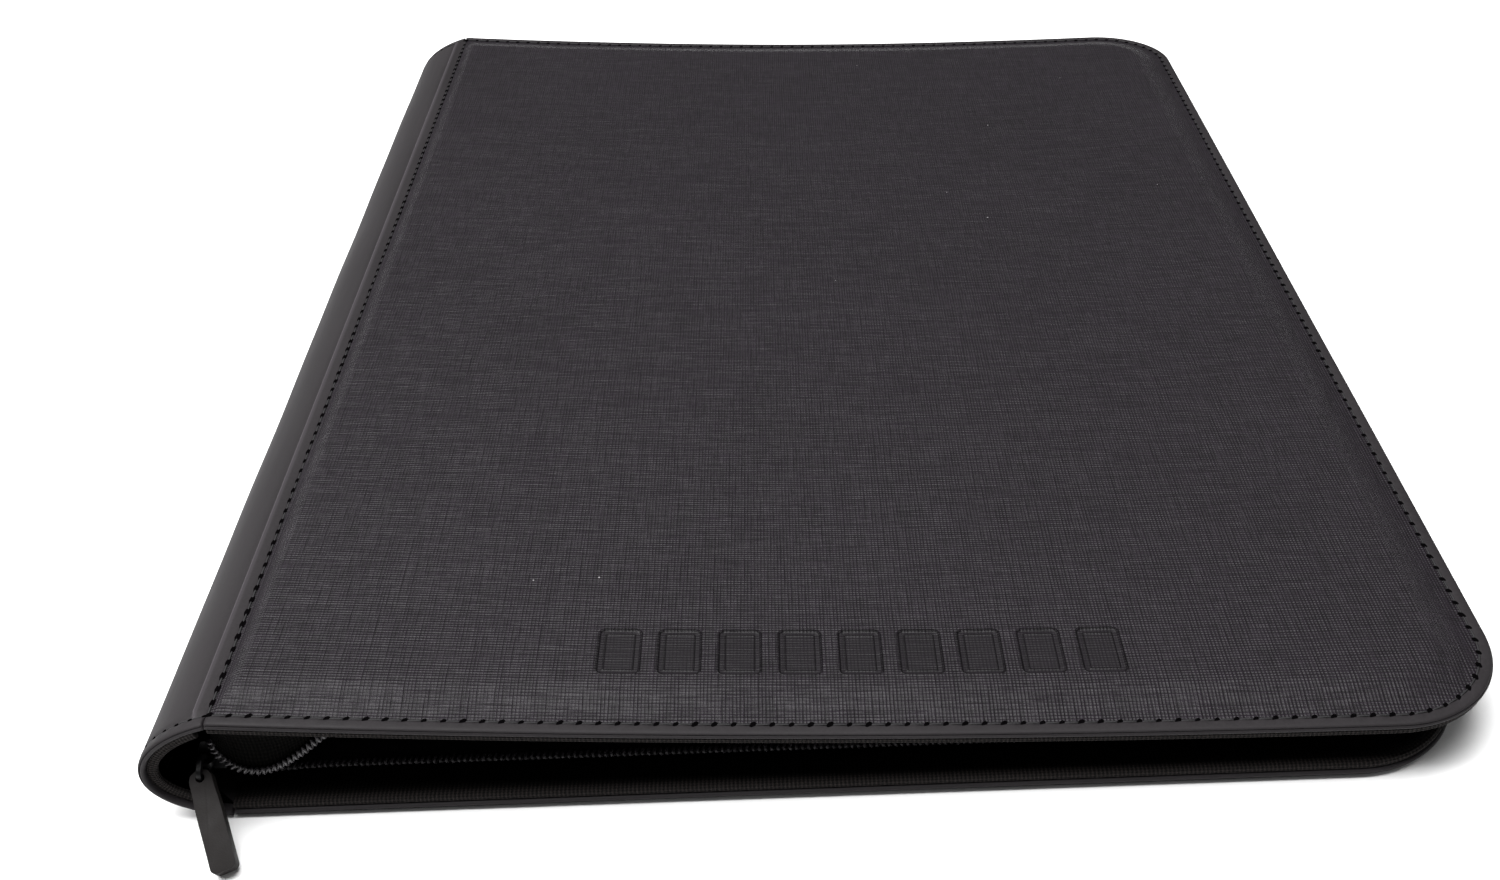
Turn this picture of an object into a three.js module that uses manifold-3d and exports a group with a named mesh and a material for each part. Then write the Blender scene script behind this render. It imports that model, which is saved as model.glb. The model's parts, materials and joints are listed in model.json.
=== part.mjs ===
// Zip-around trading card binder, lying part-open with its zip undone.
// Millimetres, +Z up. Origin: centre of the back cover's outer face, which lies on the table.
// X runs from the spine to the fore edge, Y along the spine. The front cover lies over the back
// cover, slightly tilted and sagging, and the leaves lie between them.
import * as THREE from 'three';
import { mergeVertices } from 'three/addons/utils/BufferGeometryUtils.js';
import Module from 'manifold-3d';

const wasm = await Module();
wasm.setup();

// ---- driving dimensions ----
const COVER_WIDTH = 249; // spine seam to fore edge
const COVER_HEIGHT = 340; // along the spine
const CORNER_RADIUS = 24;
const FORE_OVERHANG = 6; // the front cover rides this far past the back one
const SEAM_EDGE_RISE = 26; // front cover's edge plane above the table at the seam
const FORE_EDGE_RISE = 14.2; // the same at the fore edge
const COVER_SAG = 3.2; // trough of the front cover half way across
const PANEL_RISE = 0.9; // padded panel above the edge plane
const GLUE_GAP = 0.1; // glue line between two layers
const SKIN_THICKNESS = 0.6;
const BOARD_THICKNESS = 1;
const LINING_THICKNESS = 0.4;
const TAPE_THICKNESS = 0.7;
const BINDING_WIDTH = 2.1;
const EDGE_GAP = 0.1; // binding to the layers it wraps
const PANEL_INSET = 7.5; // edge to the foot of the padded panel
const SEAM_START = 0.6; // cover layers start this far from the hinge line
const PANEL_START = 2.2; // padded panel's spine side
const SEAM_THREAD_X = 1.3;
const THREAD_WIDTH = 0.5;
const THREAD_HEIGHT = 0.25;
const THREAD_GAP = 0.05;

const SPINE_BULGE = 18; // spine's outermost point beyond the seams
const SPINE_THICKNESS = 1.2;
const SPINE_LINING_THICKNESS = 0.5;
const END_BAND_WIDTH = 3.6; // woven band that closes each end of the spine
const END_BAND_THICKNESS = 1.2;
const END_BAND_INSET = 1.0;

const LEAF_COUNT = 12;
const LEAF_PITCH = 0.45;
const LEAF_THICKNESS = 0.3;
const LEAF_ROOT_X = 5; // leaf's spine edge
const LEAF_HINGE_X = 3.8; // the leaf bends here, at the strip's edge
const LEAF_FORE_MARGIN = 20; // leaf's fore edge to the back cover's
const LEAF_END_MARGIN = 20; // leaf's head and tail to the cover's edges
const LEAF_LIFT = 0.3; // lowest leaf above the lining
const STRIP_WIDTH = 3.6;
const STRIP_GAP = 0.3; // strip to the line on which the leaves bend
const FLANGE_THICKNESS = 0.8;

const TAPE_OUTER_INSET = 0.6;
const TAPE_INNER_INSET = 9;
const COIL_WIDTH = 2; // one row of the coil
const COIL_HEIGHT = 1.3;
const COIL_OVERHANG = 0.5; // the coil's middle past the tape's inner edge
const FAR_COIL_START = 6; // the coil's far end, from the hinge line
const STOP_LENGTH = 3;
const STOP_WALL = 0.5;

const SLIDER_LENGTH = 8.5;
const SLIDER_WIDTH = 6.8; // across the two rows of coil
const SLIDER_TAIL_WIDTH = 5.2;
const SLIDER_PLATE = 0.8;
const SLIDER_CHANNEL = 2.8; // between its two plates
const SLIDER_FLANGE = 0.8;
const SLIDER_CENTRE = new THREE.Vector3(-5.15, 8.2, 11.6); // from the near end of the hinge line
const BRIDGE_BAR = 1.1;
const BRIDGE_HEIGHT = 2.95;
const BRIDGE_LENGTH = 6;
const HANG_DEPTH = 12.4; // the loose upper coil droops this far below the cover
const HANG_START = -3;
const HANG_END = 27;
const HANG_SKEW = 0.525;
const LOWER_COIL_FALL = 4; // the lower coil has come down onto its tape this far past the hinge line

const LOOP_WIRE = 0.9;
const LOOP_LENGTH = 3.4; // inside
const LOOP_HEIGHT = 3.4; // inside
const LOOP_REST = 0.9; // from the bridge bar's middle to the loop's inside end
const PULL_DROOP = THREE.MathUtils.degToRad(29);
const PULL_TURN = THREE.MathUtils.degToRad(21);
const PULL_SHIFT = 1.3; // the loop has slid this far along the bridge towards the mouth
const PULL_LENGTH = 19; // from its eye to its free end
const PULL_WIDTH = 4.9;
const PULL_EYE_WIDTH = 4.4;
const PULL_THICKNESS = 2.4;
const PULL_CORNER = 1.2;
const EYE_RADIUS = 0.9;

// ---- derived ----
const BACK_WIDTH = COVER_WIDTH - FORE_OVERHANG;
const BRIM_TOP = GLUE_GAP; // depths are measured into the binder from the edge plane
const BRIM_FOOT = BRIM_TOP + SKIN_THICKNESS;
const FOAM_TOP = BRIM_TOP - PANEL_RISE + SKIN_THICKNESS;
const PANEL_TOP = FOAM_TOP - SKIN_THICKNESS - GLUE_GAP;
const BOARD_TOP = BRIM_FOOT + GLUE_GAP;
const BOARD_FOOT = BOARD_TOP + BOARD_THICKNESS;
const LINING_TOP = BOARD_FOOT + GLUE_GAP;
const LINING_FOOT = LINING_TOP + LINING_THICKNESS;
const BINDING_FOOT = LINING_FOOT + GLUE_GAP;
const TAPE_TOP = BINDING_FOOT + GLUE_GAP;
const TAPE_FOOT = TAPE_TOP + TAPE_THICKNESS;
const COIL_DEPTH = TAPE_FOOT + GLUE_GAP + COIL_HEIGHT / 2;
const LAYER_INSET = BINDING_WIDTH + EDGE_GAP;
const THREAD_INSET = LAYER_INSET + THREAD_WIDTH;
const COIL_INSET = TAPE_INNER_INSET + COIL_OVERHANG;
const BACK_EDGE_RISE = -PANEL_TOP; // the back panel's outer face lies at z = 0
const COVER_STEPS = 12;
const ARC_STEPS = 8;
const CUT_MARGIN = 5; // how far cutting prisms run past what they cut
const Z_UP = new THREE.Vector3(0, 0, 1);

const model = new THREE.Group();
model.name = 'trading_card_binder';
const binder = new THREE.Group(); // its origin is the near end of the hinge line, on the table
binder.position.set(-BACK_WIDTH / 2, -COVER_HEIGHT / 2, 0);
model.add(binder);

// ---- materials ----
const FINISHES = {
  linen_leather: { color: 0x3d3a3e, roughness: 0.62, metalness: 0 },
  smooth_leather: { color: 0x3f3c40, roughness: 0.5, metalness: 0 },
  foam: { color: 0x55555a, roughness: 0.95, metalness: 0 },
  board: { color: 0x8a8478, roughness: 0.9, metalness: 0 },
  lining: { color: 0x1c1b1e, roughness: 0.9, metalness: 0 },
  thread: { color: 0x17161a, roughness: 0.8, metalness: 0 },
  tape: { color: 0x201f22, roughness: 0.9, metalness: 0 },
  coil: { color: 0x242326, roughness: 0.45, metalness: 0 },
  metal: { color: 0x2a2a2c, roughness: 0.4, metalness: 0.8 },
  rubber: { color: 0x35322f, roughness: 0.7, metalness: 0 },
  film: { color: 0x2b2b30, roughness: 0.25, metalness: 0 },
};

function addPart(name, geometry, finish, parent = binder) {
  const mesh = new THREE.Mesh(geometry, new THREE.MeshStandardMaterial(FINISHES[finish]));
  mesh.name = name;
  parent.add(mesh);
  return mesh;
}

// ---- solids ----
function toSolid(geometry) {
  const bare = geometry.clone();
  bare.deleteAttribute('normal');
  bare.deleteAttribute('uv');
  const merged = mergeVertices(bare, 1e-4);
  return new wasm.Manifold(new wasm.Mesh({
    numProp: 3,
    vertProperties: new Float32Array(merged.attributes.position.array),
    triVerts: new Uint32Array(merged.index.array),
  }));
}

function toGeometry(solid) {
  const mesh = solid.getMesh();
  const geometry = new THREE.BufferGeometry();
  geometry.setAttribute('position', new THREE.BufferAttribute(mesh.vertProperties, 3));
  geometry.setIndex(new THREE.BufferAttribute(mesh.triVerts, 1));
  return geometry;
}

// A prism of an XZ outline between two places along Y.
function prismAlongY(outline, y0, y1) {
  const geometry = new THREE.ExtrudeGeometry(outline, { depth: y1 - y0, bevelEnabled: false });
  return geometry.rotateX(Math.PI / 2).translate(0, y1, 0);
}

// A prism of an XY outline between two heights.
function prismAlongZ(outline, z0, z1) {
  const options = { depth: z1 - z0, bevelEnabled: false, curveSegments: ARC_STEPS };
  return new THREE.ExtrudeGeometry(outline, options).translate(0, 0, z0);
}

function box(x0, x1, y0, y1, z0, z1) {
  const geometry = new THREE.BoxGeometry(x1 - x0, y1 - y0, z1 - z0);
  return geometry.translate((x0 + x1) / 2, (y0 + y1) / 2, (z0 + z1) / 2);
}

// ---- the two covers: a height for each place across and each depth into the binder ----
const front = {
  name: 'front',
  width: COVER_WIDTH,
  height(x, depth) {
    const t = x / COVER_WIDTH;
    const plane = THREE.MathUtils.lerp(SEAM_EDGE_RISE, FORE_EDGE_RISE, t);
    return plane - 4 * COVER_SAG * t * (1 - t) - depth;
  },
};
const back = {
  name: 'back',
  width: BACK_WIDTH,
  height: (x, depth) => BACK_EDGE_RISE + depth,
};

// Plan of a cover layer: straight at the spine, rounded at the two fore corners.
function coverPlan(cover, inset, start) {
  const radius = CORNER_RADIUS - inset;
  const cornerX = cover.width - CORNER_RADIUS;
  const plan = new THREE.Shape();
  plan.moveTo(start, inset);
  plan.lineTo(cornerX, inset);
  plan.absarc(cornerX, CORNER_RADIUS, radius, -Math.PI / 2, 0, false);
  plan.absarc(cornerX, COVER_HEIGHT - CORNER_RADIUS, radius, 0, Math.PI / 2, false);
  plan.lineTo(start, COVER_HEIGHT - inset);
  plan.closePath();
  return plan;
}

// A sheet between two depths that follows the cover's tilt and sag.
function coverSheet(cover, top, foot) {
  const outline = new THREE.Shape();
  const places = Array.from({ length: COVER_STEPS + 1 }, (_, i) => (cover.width * i) / COVER_STEPS);
  const points = [
    ...places.map((x) => new THREE.Vector2(x, cover.height(x, top))),
    ...places.reverse().map((x) => new THREE.Vector2(x, cover.height(x, foot))),
  ];
  outline.setFromPoints(points);
  return toSolid(prismAlongY(outline, 0, COVER_HEIGHT));
}

function coverLayer(cover, top, foot, inset, start) {
  const prism = prismAlongZ(coverPlan(cover, inset, start), -CUT_MARGIN, SEAM_EDGE_RISE + CUT_MARGIN);
  return coverSheet(cover, top, foot).intersect(toSolid(prism));
}

// A rim between two insets, open at the spine.
function coverRim(cover, top, foot, outer, inner) {
  const prism = prismAlongZ(coverPlan(cover, inner, -CUT_MARGIN), -CUT_MARGIN,
    SEAM_EDGE_RISE + CUT_MARGIN);
  return coverLayer(cover, top, foot, outer, SEAM_START).subtract(toSolid(prism));
}

// The skin is a shallow tray over the foam, with a brim that runs under the binding's edge.
function coverSkin(cover) {
  const panel = coverLayer(cover, PANEL_TOP, BRIM_FOOT, PANEL_INSET, PANEL_START);
  const brim = coverLayer(cover, BRIM_TOP, BRIM_FOOT, LAYER_INSET, SEAM_START);
  const pocket = coverLayer(cover, PANEL_TOP + SKIN_THICKNESS, BRIM_FOOT + GLUE_GAP,
    PANEL_INSET + SKIN_THICKNESS, PANEL_START + SKIN_THICKNESS);
  return panel.add(brim).subtract(pocket);
}

function coverFoam(cover) {
  return coverLayer(cover, FOAM_TOP, BRIM_FOOT, PANEL_INSET + SKIN_THICKNESS + GLUE_GAP,
    PANEL_START + SKIN_THICKNESS + GLUE_GAP);
}

// ---- sweeps along the rim ----
// A route given by stations, with the section kept level: shape y points left of travel and
// shape x points down.
class StationPath extends THREE.Curve {
  constructor(stations) {
    super();
    this.stations = stations;
  }

  getSpacedPoints() {
    return this.stations;
  }

  computeFrenetFrames(segments) {
    const frames = { tangents: [], normals: [], binormals: [] };
    for (let i = 0; i <= segments; i += 1) {
      const before = this.stations[Math.max(i - 1, 0)];
      const after = this.stations[Math.min(i + 1, segments)];
      const tangent = after.clone().sub(before).normalize();
      const left = Z_UP.clone().cross(tangent).normalize();
      frames.tangents.push(tangent);
      frames.binormals.push(left);
      frames.normals.push(left.clone().cross(tangent));
    }
    return frames;
  }
}

function sweep(stations, width, height) {
  const section = new THREE.Shape();
  section.moveTo(-height / 2, -width / 2);
  section.lineTo(height / 2, -width / 2);
  section.lineTo(height / 2, width / 2);
  section.lineTo(-height / 2, width / 2);
  section.closePath();
  const options = { steps: stations.length - 1, extrudePath: new StationPath(stations) };
  return new THREE.ExtrudeGeometry(section, options);
}

// Stations round the three free edges of a cover at one inset and depth.
function rimStations(cover, inset, depth, nearStart, farEnd) {
  const cornerX = cover.width - CORNER_RADIUS;
  const radius = CORNER_RADIUS - inset;
  const at = (x, y) => new THREE.Vector3(x, y, cover.height(x, depth));
  const stations = [];
  for (let i = 0; i < COVER_STEPS; i += 1) {
    stations.push(at(THREE.MathUtils.lerp(nearStart, cornerX, i / COVER_STEPS), inset));
  }
  for (const [centreY, startAngle] of [[CORNER_RADIUS, -Math.PI / 2], [COVER_HEIGHT - CORNER_RADIUS, 0]]) {
    for (let i = 0; i <= ARC_STEPS; i += 1) {
      const angle = startAngle + (Math.PI / 2) * (i / ARC_STEPS);
      stations.push(at(cornerX + radius * Math.cos(angle), centreY + radius * Math.sin(angle)));
    }
  }
  for (let i = 1; i <= COVER_STEPS; i += 1) {
    stations.push(at(THREE.MathUtils.lerp(cornerX, farEnd, i / COVER_STEPS), COVER_HEIGHT - inset));
  }
  return stations;
}

const THREAD_DEPTH = BRIM_TOP - THREAD_GAP - THREAD_HEIGHT / 2;

function edgeThread(cover) {
  const start = SEAM_THREAD_X + 2 * THREAD_WIDTH;
  const stations = rimStations(cover, THREAD_INSET, THREAD_DEPTH, start, start);
  return sweep(stations, THREAD_WIDTH, THREAD_HEIGHT);
}

function seamThread(cover) {
  const z = cover.height(SEAM_THREAD_X, THREAD_DEPTH);
  return box(SEAM_THREAD_X - THREAD_WIDTH / 2, SEAM_THREAD_X + THREAD_WIDTH / 2,
    THREAD_INSET, COVER_HEIGHT - THREAD_INSET, z - THREAD_HEIGHT / 2, z + THREAD_HEIGHT / 2);
}

// ---- zip coils: from the slider's mouth, through a loose stretch, then round the rim ----
const MOUTH_X = SLIDER_CENTRE.x + SLIDER_LENGTH / 2 + GLUE_GAP * 4;

function hang(x) {
  const t = (x - HANG_START) / (HANG_END - HANG_START);
  return HANG_DEPTH * Math.sin(Math.PI * t ** HANG_SKEW);
}

function looseStations(zAt) {
  const stations = [];
  for (let i = 0; i < COVER_STEPS; i += 1) {
    const x = THREE.MathUtils.lerp(MOUTH_X, HANG_END, (i / COVER_STEPS) ** 1.4);
    const t = THREE.MathUtils.smoothstep(x, MOUTH_X, HANG_END);
    stations.push(new THREE.Vector3(x, THREE.MathUtils.lerp(SLIDER_CENTRE.y, COIL_INSET, t), zAt(x)));
  }
  return stations;
}

function frontCoil() {
  const loose = looseStations((x) => front.height(x, COIL_DEPTH) - hang(x));
  const rim = rimStations(front, COIL_INSET, COIL_DEPTH, HANG_END, FAR_COIL_START);
  return sweep([...loose, ...rim], COIL_WIDTH, COIL_HEIGHT);
}

function backCoil() {
  const rise = SLIDER_CENTRE.z - SLIDER_WIDTH / 4 - back.height(0, COIL_DEPTH);
  const fall = (x) => rise * (1 - THREE.MathUtils.smoothstep(x, MOUTH_X, LOWER_COIL_FALL));
  const loose = looseStations((x) => back.height(x, COIL_DEPTH) + fall(x));
  const rim = rimStations(back, COIL_INSET, COIL_DEPTH, HANG_END, FAR_COIL_START);
  return sweep([...loose, ...rim], COIL_WIDTH, COIL_HEIGHT);
}

// The loose tail of the upper tape: an upright curtain between the cover and its drooping coil.
function tailTape() {
  const outline = new THREE.Shape();
  const points = [];
  for (let i = 0; i <= COVER_STEPS; i += 1) {
    const x = THREE.MathUtils.lerp(MOUTH_X, HANG_END - 2, (i / COVER_STEPS) ** 1.4);
    points.push(new THREE.Vector2(x, front.height(x, COIL_DEPTH) - hang(x) + COIL_HEIGHT));
  }
  points.push(new THREE.Vector2(HANG_END - 2, front.height(HANG_END, TAPE_FOOT + GLUE_GAP)));
  points.push(new THREE.Vector2(MOUTH_X, front.height(HANG_END, TAPE_FOOT + GLUE_GAP)));
  outline.setFromPoints(points);
  const y = SLIDER_CENTRE.y - COIL_WIDTH / 2 - GLUE_GAP;
  return prismAlongY(outline, y - TAPE_THICKNESS, y);
}

// A small crimped metal stop that caps the far end of a coil.
function topStop(cover) {
  const y = COVER_HEIGHT - COIL_INSET;
  const half = COIL_WIDTH / 2 + STOP_WALL;
  const x1 = FAR_COIL_START - EDGE_GAP * 3;
  const [low, high] = [COIL_DEPTH - COIL_HEIGHT / 2, COIL_DEPTH + COIL_HEIGHT / 2]
    .map((depth) => cover.height(FAR_COIL_START, depth))
    .sort((a, b) => a - b);
  return box(x1 - STOP_LENGTH, x1, y - half, y + half, low, high);
}

function bottomStop() {
  const x1 = SLIDER_CENTRE.x - SLIDER_LENGTH / 2 - EDGE_GAP * 5;
  const y = SLIDER_CENTRE.y;
  return box(x1 - STOP_LENGTH / 2, x1, y - COIL_HEIGHT, y + COIL_HEIGHT,
    SLIDER_CENTRE.z - COIL_WIDTH, SLIDER_CENTRE.z + COIL_WIDTH);
}

// ---- spine ----
// Outer curve from the front seam round to the back seam; the handles set how far it bulges.
const SPINE_EDGE_X = 0.2;
const SPINE_CURVE = new THREE.CubicBezierCurve(
  new THREE.Vector2(SPINE_EDGE_X, front.height(0, BRIM_TOP)),
  new THREE.Vector2(-SPINE_BULGE * 1.22, SEAM_EDGE_RISE * 0.8),
  new THREE.Vector2(-SPINE_BULGE * 1.45, SEAM_EDGE_RISE * 0.15),
  new THREE.Vector2(SPINE_EDGE_X, 0),
);
const SPINE_STEPS = 20;

// A point of the curve, moved inwards by an offset.
function spinePoint(t, offset) {
  const tangent = SPINE_CURVE.getTangent(t);
  const inward = new THREE.Vector2(-tangent.y, tangent.x);
  return SPINE_CURVE.getPoint(t).addScaledVector(inward, offset);
}

// A strip between two offsets inside the curve, over part of the curve's length.
function spineLayer(outer, inner, from, to, y0, y1) {
  const steps = Array.from({ length: SPINE_STEPS + 1 }, (_, i) => from + ((to - from) * i) / SPINE_STEPS);
  const outline = new THREE.Shape();
  outline.setFromPoints([
    ...steps.map((t) => spinePoint(t, outer)),
    ...steps.reverse().map((t) => spinePoint(t, inner)),
  ]);
  return prismAlongY(outline, y0, y1);
}

const LINER_TOP = SPINE_THICKNESS + GLUE_GAP;
const LINER_FOOT = LINER_TOP + SPINE_LINING_THICKNESS;
const LINER_FROM = 0.07;
const LINER_TO = 0.93;
const BAND_END = END_BAND_INSET + END_BAND_THICKNESS;

function spineBand(y0) {
  return spineLayer(LINER_TOP, LINER_TOP + END_BAND_WIDTH, LINER_FROM, LINER_TO, y0,
    y0 + END_BAND_THICKNESS);
}

// ---- leaves ----
const LEAF_FOOT = back.height(0, LINING_FOOT) + LEAF_LIFT;
const LEAF_STACK = (LEAF_COUNT - 1) * LEAF_PITCH + LEAF_THICKNESS;
const leafZ = (index) => LEAF_FOOT + index * LEAF_PITCH;

function leaf(index) {
  return box(LEAF_ROOT_X, BACK_WIDTH - LEAF_FORE_MARGIN, LEAF_END_MARGIN,
    COVER_HEIGHT - LEAF_END_MARGIN, leafZ(index), leafZ(index) + LEAF_THICKNESS);
}

function bindingStrip() {
  const x1 = LEAF_HINGE_X - STRIP_GAP;
  return box(x1 - STRIP_WIDTH, x1, LEAF_END_MARGIN, COVER_HEIGHT - LEAF_END_MARGIN, LEAF_FOOT,
    LEAF_FOOT + LEAF_STACK);
}

// The flange joins the strip to the spine's lining, half way up the stack.
function hingeFlange() {
  const x1 = LEAF_HINGE_X - STRIP_GAP - STRIP_WIDTH - GLUE_GAP;
  const z = LEAF_FOOT + LEAF_STACK / 2;
  const inside = (t) => spinePoint(t, LINER_FOOT);
  const samples = Array.from({ length: 200 }, (_, i) => inside((i + 1) / 200));
  const meeting = samples.filter((point) => Math.abs(point.y - z) < 2 * FLANGE_THICKNESS);
  const x0 = Math.max(...meeting.map((point) => point.x)) + GLUE_GAP;
  return box(x0, x1, LEAF_END_MARGIN, COVER_HEIGHT - LEAF_END_MARGIN,
    z - FLANGE_THICKNESS / 2, z + FLANGE_THICKNESS / 2);
}

// ---- slider and pull ----
// The slider's plates lie upright, one each side of the coils; its mouth faces the fore edge.
function sliderBody() {
  const mouth = SLIDER_LENGTH / 2;
  const tail = -SLIDER_LENGTH / 2;
  const plate = new THREE.Shape();
  plate.moveTo(tail, -SLIDER_TAIL_WIDTH / 2);
  plate.lineTo(0, -SLIDER_WIDTH / 2);
  plate.lineTo(mouth, -SLIDER_WIDTH / 2);
  plate.lineTo(mouth, SLIDER_WIDTH / 2);
  plate.lineTo(0, SLIDER_WIDTH / 2);
  plate.lineTo(tail, SLIDER_TAIL_WIDTH / 2);
  plate.closePath();
  const inner = SLIDER_CHANNEL / 2;
  const outer = inner + SLIDER_PLATE;
  const post = new THREE.Shape();
  post.moveTo(mouth - 4, 0);
  post.lineTo(mouth - 1, -1.1);
  post.lineTo(mouth, 0);
  post.lineTo(mouth - 1, 1.1);
  post.closePath();
  const flangeStart = tail + SLIDER_LENGTH * 0.15;
  const flange = (side, y0, y1) => box(flangeStart, mouth,
    y0, y1, side * SLIDER_WIDTH / 2 - SLIDER_FLANGE / 2, side * SLIDER_WIDTH / 2 + SLIDER_FLANGE / 2);
  const pieces = [
    prismAlongY(plate, -outer, -inner),
    prismAlongY(plate, inner, outer),
    prismAlongY(post, -inner - SLIDER_PLATE / 2, inner + SLIDER_PLATE / 2),
    bridge(-outer),
  ];
  for (const side of [-1, 1]) {
    pieces.push(flange(side, -outer, -inner / 2));
    pieces.push(flange(side, inner / 2, outer));
  }
  const solid = pieces.map(toSolid).reduce((sum, piece) => sum.add(piece));
  return toGeometry(solid).translate(...SLIDER_CENTRE.toArray());
}

// A low arch on the slider's outer plate that holds the pull's loop.
function bridge(plateY) {
  const half = BRIDGE_LENGTH / 2;
  const top = plateY - BRIDGE_HEIGHT;
  const arch = new THREE.Shape();
  arch.moveTo(-half, plateY + SLIDER_PLATE / 2);
  arch.lineTo(-half, top + BRIDGE_BAR);
  arch.quadraticCurveTo(-half, top, -half + BRIDGE_BAR, top);
  arch.lineTo(half - BRIDGE_BAR, top);
  arch.quadraticCurveTo(half, top, half, top + BRIDGE_BAR);
  arch.lineTo(half, plateY + SLIDER_PLATE / 2);
  arch.lineTo(half - BRIDGE_BAR, plateY + SLIDER_PLATE / 2);
  arch.lineTo(half - BRIDGE_BAR, top + BRIDGE_BAR);
  arch.lineTo(-half + BRIDGE_BAR, top + BRIDGE_BAR);
  arch.lineTo(-half + BRIDGE_BAR, plateY + SLIDER_PLATE / 2);
  arch.closePath();
  const options = { depth: BRIDGE_BAR, bevelEnabled: false, curveSegments: 3 };
  return new THREE.ExtrudeGeometry(arch, options).translate(0, 0, -BRIDGE_BAR / 2);
}

const PULL_PIVOT = new THREE.Vector3(
  SLIDER_CENTRE.x + PULL_SHIFT,
  SLIDER_CENTRE.y - SLIDER_CHANNEL / 2 - SLIDER_PLATE - BRIDGE_HEIGHT + BRIDGE_BAR / 2,
  SLIDER_CENTRE.z,
);

// A rounded wire loop in its own YZ plane, hooked round the bridge.
function pullLoop() {
  const ring = (length, height, radius) => {
    const [low, high] = [LOOP_REST - LOOP_LENGTH / 2 - length / 2, LOOP_REST - LOOP_LENGTH / 2 + length / 2];
    const shape = new THREE.Shape();
    shape.absarc(high - radius, height / 2 - radius, radius, 0, Math.PI / 2, false);
    shape.absarc(low + radius, height / 2 - radius, radius, Math.PI / 2, Math.PI, false);
    shape.absarc(low + radius, radius - height / 2, radius, Math.PI, 1.5 * Math.PI, false);
    shape.absarc(high - radius, radius - height / 2, radius, 1.5 * Math.PI, 2 * Math.PI, false);
    return shape;
  };
  const inside = 0.8;
  const outline = ring(LOOP_LENGTH + 2 * LOOP_WIRE, LOOP_HEIGHT + 2 * LOOP_WIRE, inside + LOOP_WIRE);
  outline.holes.push(ring(LOOP_LENGTH, LOOP_HEIGHT, inside));
  const options = { depth: LOOP_WIRE, bevelEnabled: false, curveSegments: 4 };
  const geometry = new THREE.ExtrudeGeometry(outline, options).translate(0, 0, -LOOP_WIRE / 2);
  return geometry.rotateX(Math.PI / 2).rotateZ(Math.PI / 2);
}

// A flat moulded tab, narrower at its eye; its free end has rounded corners.
function pullTab() {
  const eyeHalf = PULL_EYE_WIDTH / 2;
  const half = PULL_WIDTH / 2;
  const shape = new THREE.Shape();
  shape.moveTo(-eyeHalf, 0);
  shape.bezierCurveTo(-eyeHalf, -4, -half, -4, -half, -8);
  shape.lineTo(-half, PULL_CORNER - PULL_LENGTH);
  shape.absarc(PULL_CORNER - half, PULL_CORNER - PULL_LENGTH, PULL_CORNER, Math.PI, 1.5 * Math.PI, false);
  shape.absarc(half - PULL_CORNER, PULL_CORNER - PULL_LENGTH, PULL_CORNER, 1.5 * Math.PI, 2 * Math.PI, false);
  shape.lineTo(half, -8);
  shape.bezierCurveTo(half, -4, eyeHalf, -4, eyeHalf, 0);
  shape.bezierCurveTo(eyeHalf, 2.2, -eyeHalf, 2.2, -eyeHalf, 0);
  const eye = new THREE.Path();
  eye.absarc(0, 0, EYE_RADIUS, 0, 2 * Math.PI, true);
  shape.holes.push(eye);
  const options = { depth: PULL_THICKNESS, bevelEnabled: false, curveSegments: 5 };
  return new THREE.ExtrudeGeometry(shape, options).translate(0, 0, -PULL_THICKNESS / 2);
}

function addPull() {
  const hanging = new THREE.Group();
  hanging.position.copy(PULL_PIVOT);
  hanging.rotation.x = PULL_DROOP;
  binder.add(hanging);
  addPart('pull_loop', pullLoop(), 'metal', hanging);
  const tab = addPart('pull_tab', pullTab(), 'rubber', hanging);
  tab.position.y = LOOP_REST - LOOP_LENGTH - LOOP_WIRE / 2;
  tab.rotation.z = PULL_TURN;
}

// ---- assembly ----
for (const cover of [back, front]) {
  const rim = (top, foot, outer, inner) => toGeometry(coverRim(cover, top, foot, outer, inner));
  const layer = (top, foot) => toGeometry(coverLayer(cover, top, foot, LAYER_INSET, SEAM_START));
  addPart(`${cover.name}_skin`, toGeometry(coverSkin(cover)), 'linen_leather');
  addPart(`${cover.name}_foam`, toGeometry(coverFoam(cover)), 'foam');
  addPart(`${cover.name}_board`, layer(BOARD_TOP, BOARD_FOOT), 'board');
  addPart(`${cover.name}_lining`, layer(LINING_TOP, LINING_FOOT), 'lining');
  addPart(`${cover.name}_edge_binding`, rim(0, BINDING_FOOT, 0, BINDING_WIDTH), 'smooth_leather');
  addPart(`${cover.name}_zip_tape`, rim(TAPE_TOP, TAPE_FOOT, TAPE_OUTER_INSET, TAPE_INNER_INSET), 'tape');
  addPart(`${cover.name}_edge_thread`, edgeThread(cover), 'thread');
  addPart(`${cover.name}_seam_thread`, seamThread(cover), 'thread');
  addPart(`${cover.name}_top_stop`, topStop(cover), 'metal');
}
addPart('front_zip_coil', frontCoil(), 'coil');
addPart('front_zip_tail_tape', tailTape(), 'tape');
addPart('back_zip_coil', backCoil(), 'coil');
addPart('zip_bottom_stop', bottomStop(), 'metal');

addPart('spine_skin', spineLayer(0, SPINE_THICKNESS, 0, 1, 0, COVER_HEIGHT), 'smooth_leather');
addPart('spine_lining', spineLayer(LINER_TOP, LINER_FOOT, LINER_FROM, LINER_TO, BAND_END + GLUE_GAP,
  COVER_HEIGHT - BAND_END - GLUE_GAP), 'lining');
addPart('spine_near_band', spineBand(END_BAND_INSET), 'tape');
addPart('spine_far_band', spineBand(COVER_HEIGHT - BAND_END), 'tape');
addPart('page_binding_strip', bindingStrip(), 'lining');
addPart('page_hinge_flange', hingeFlange(), 'lining');

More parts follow.
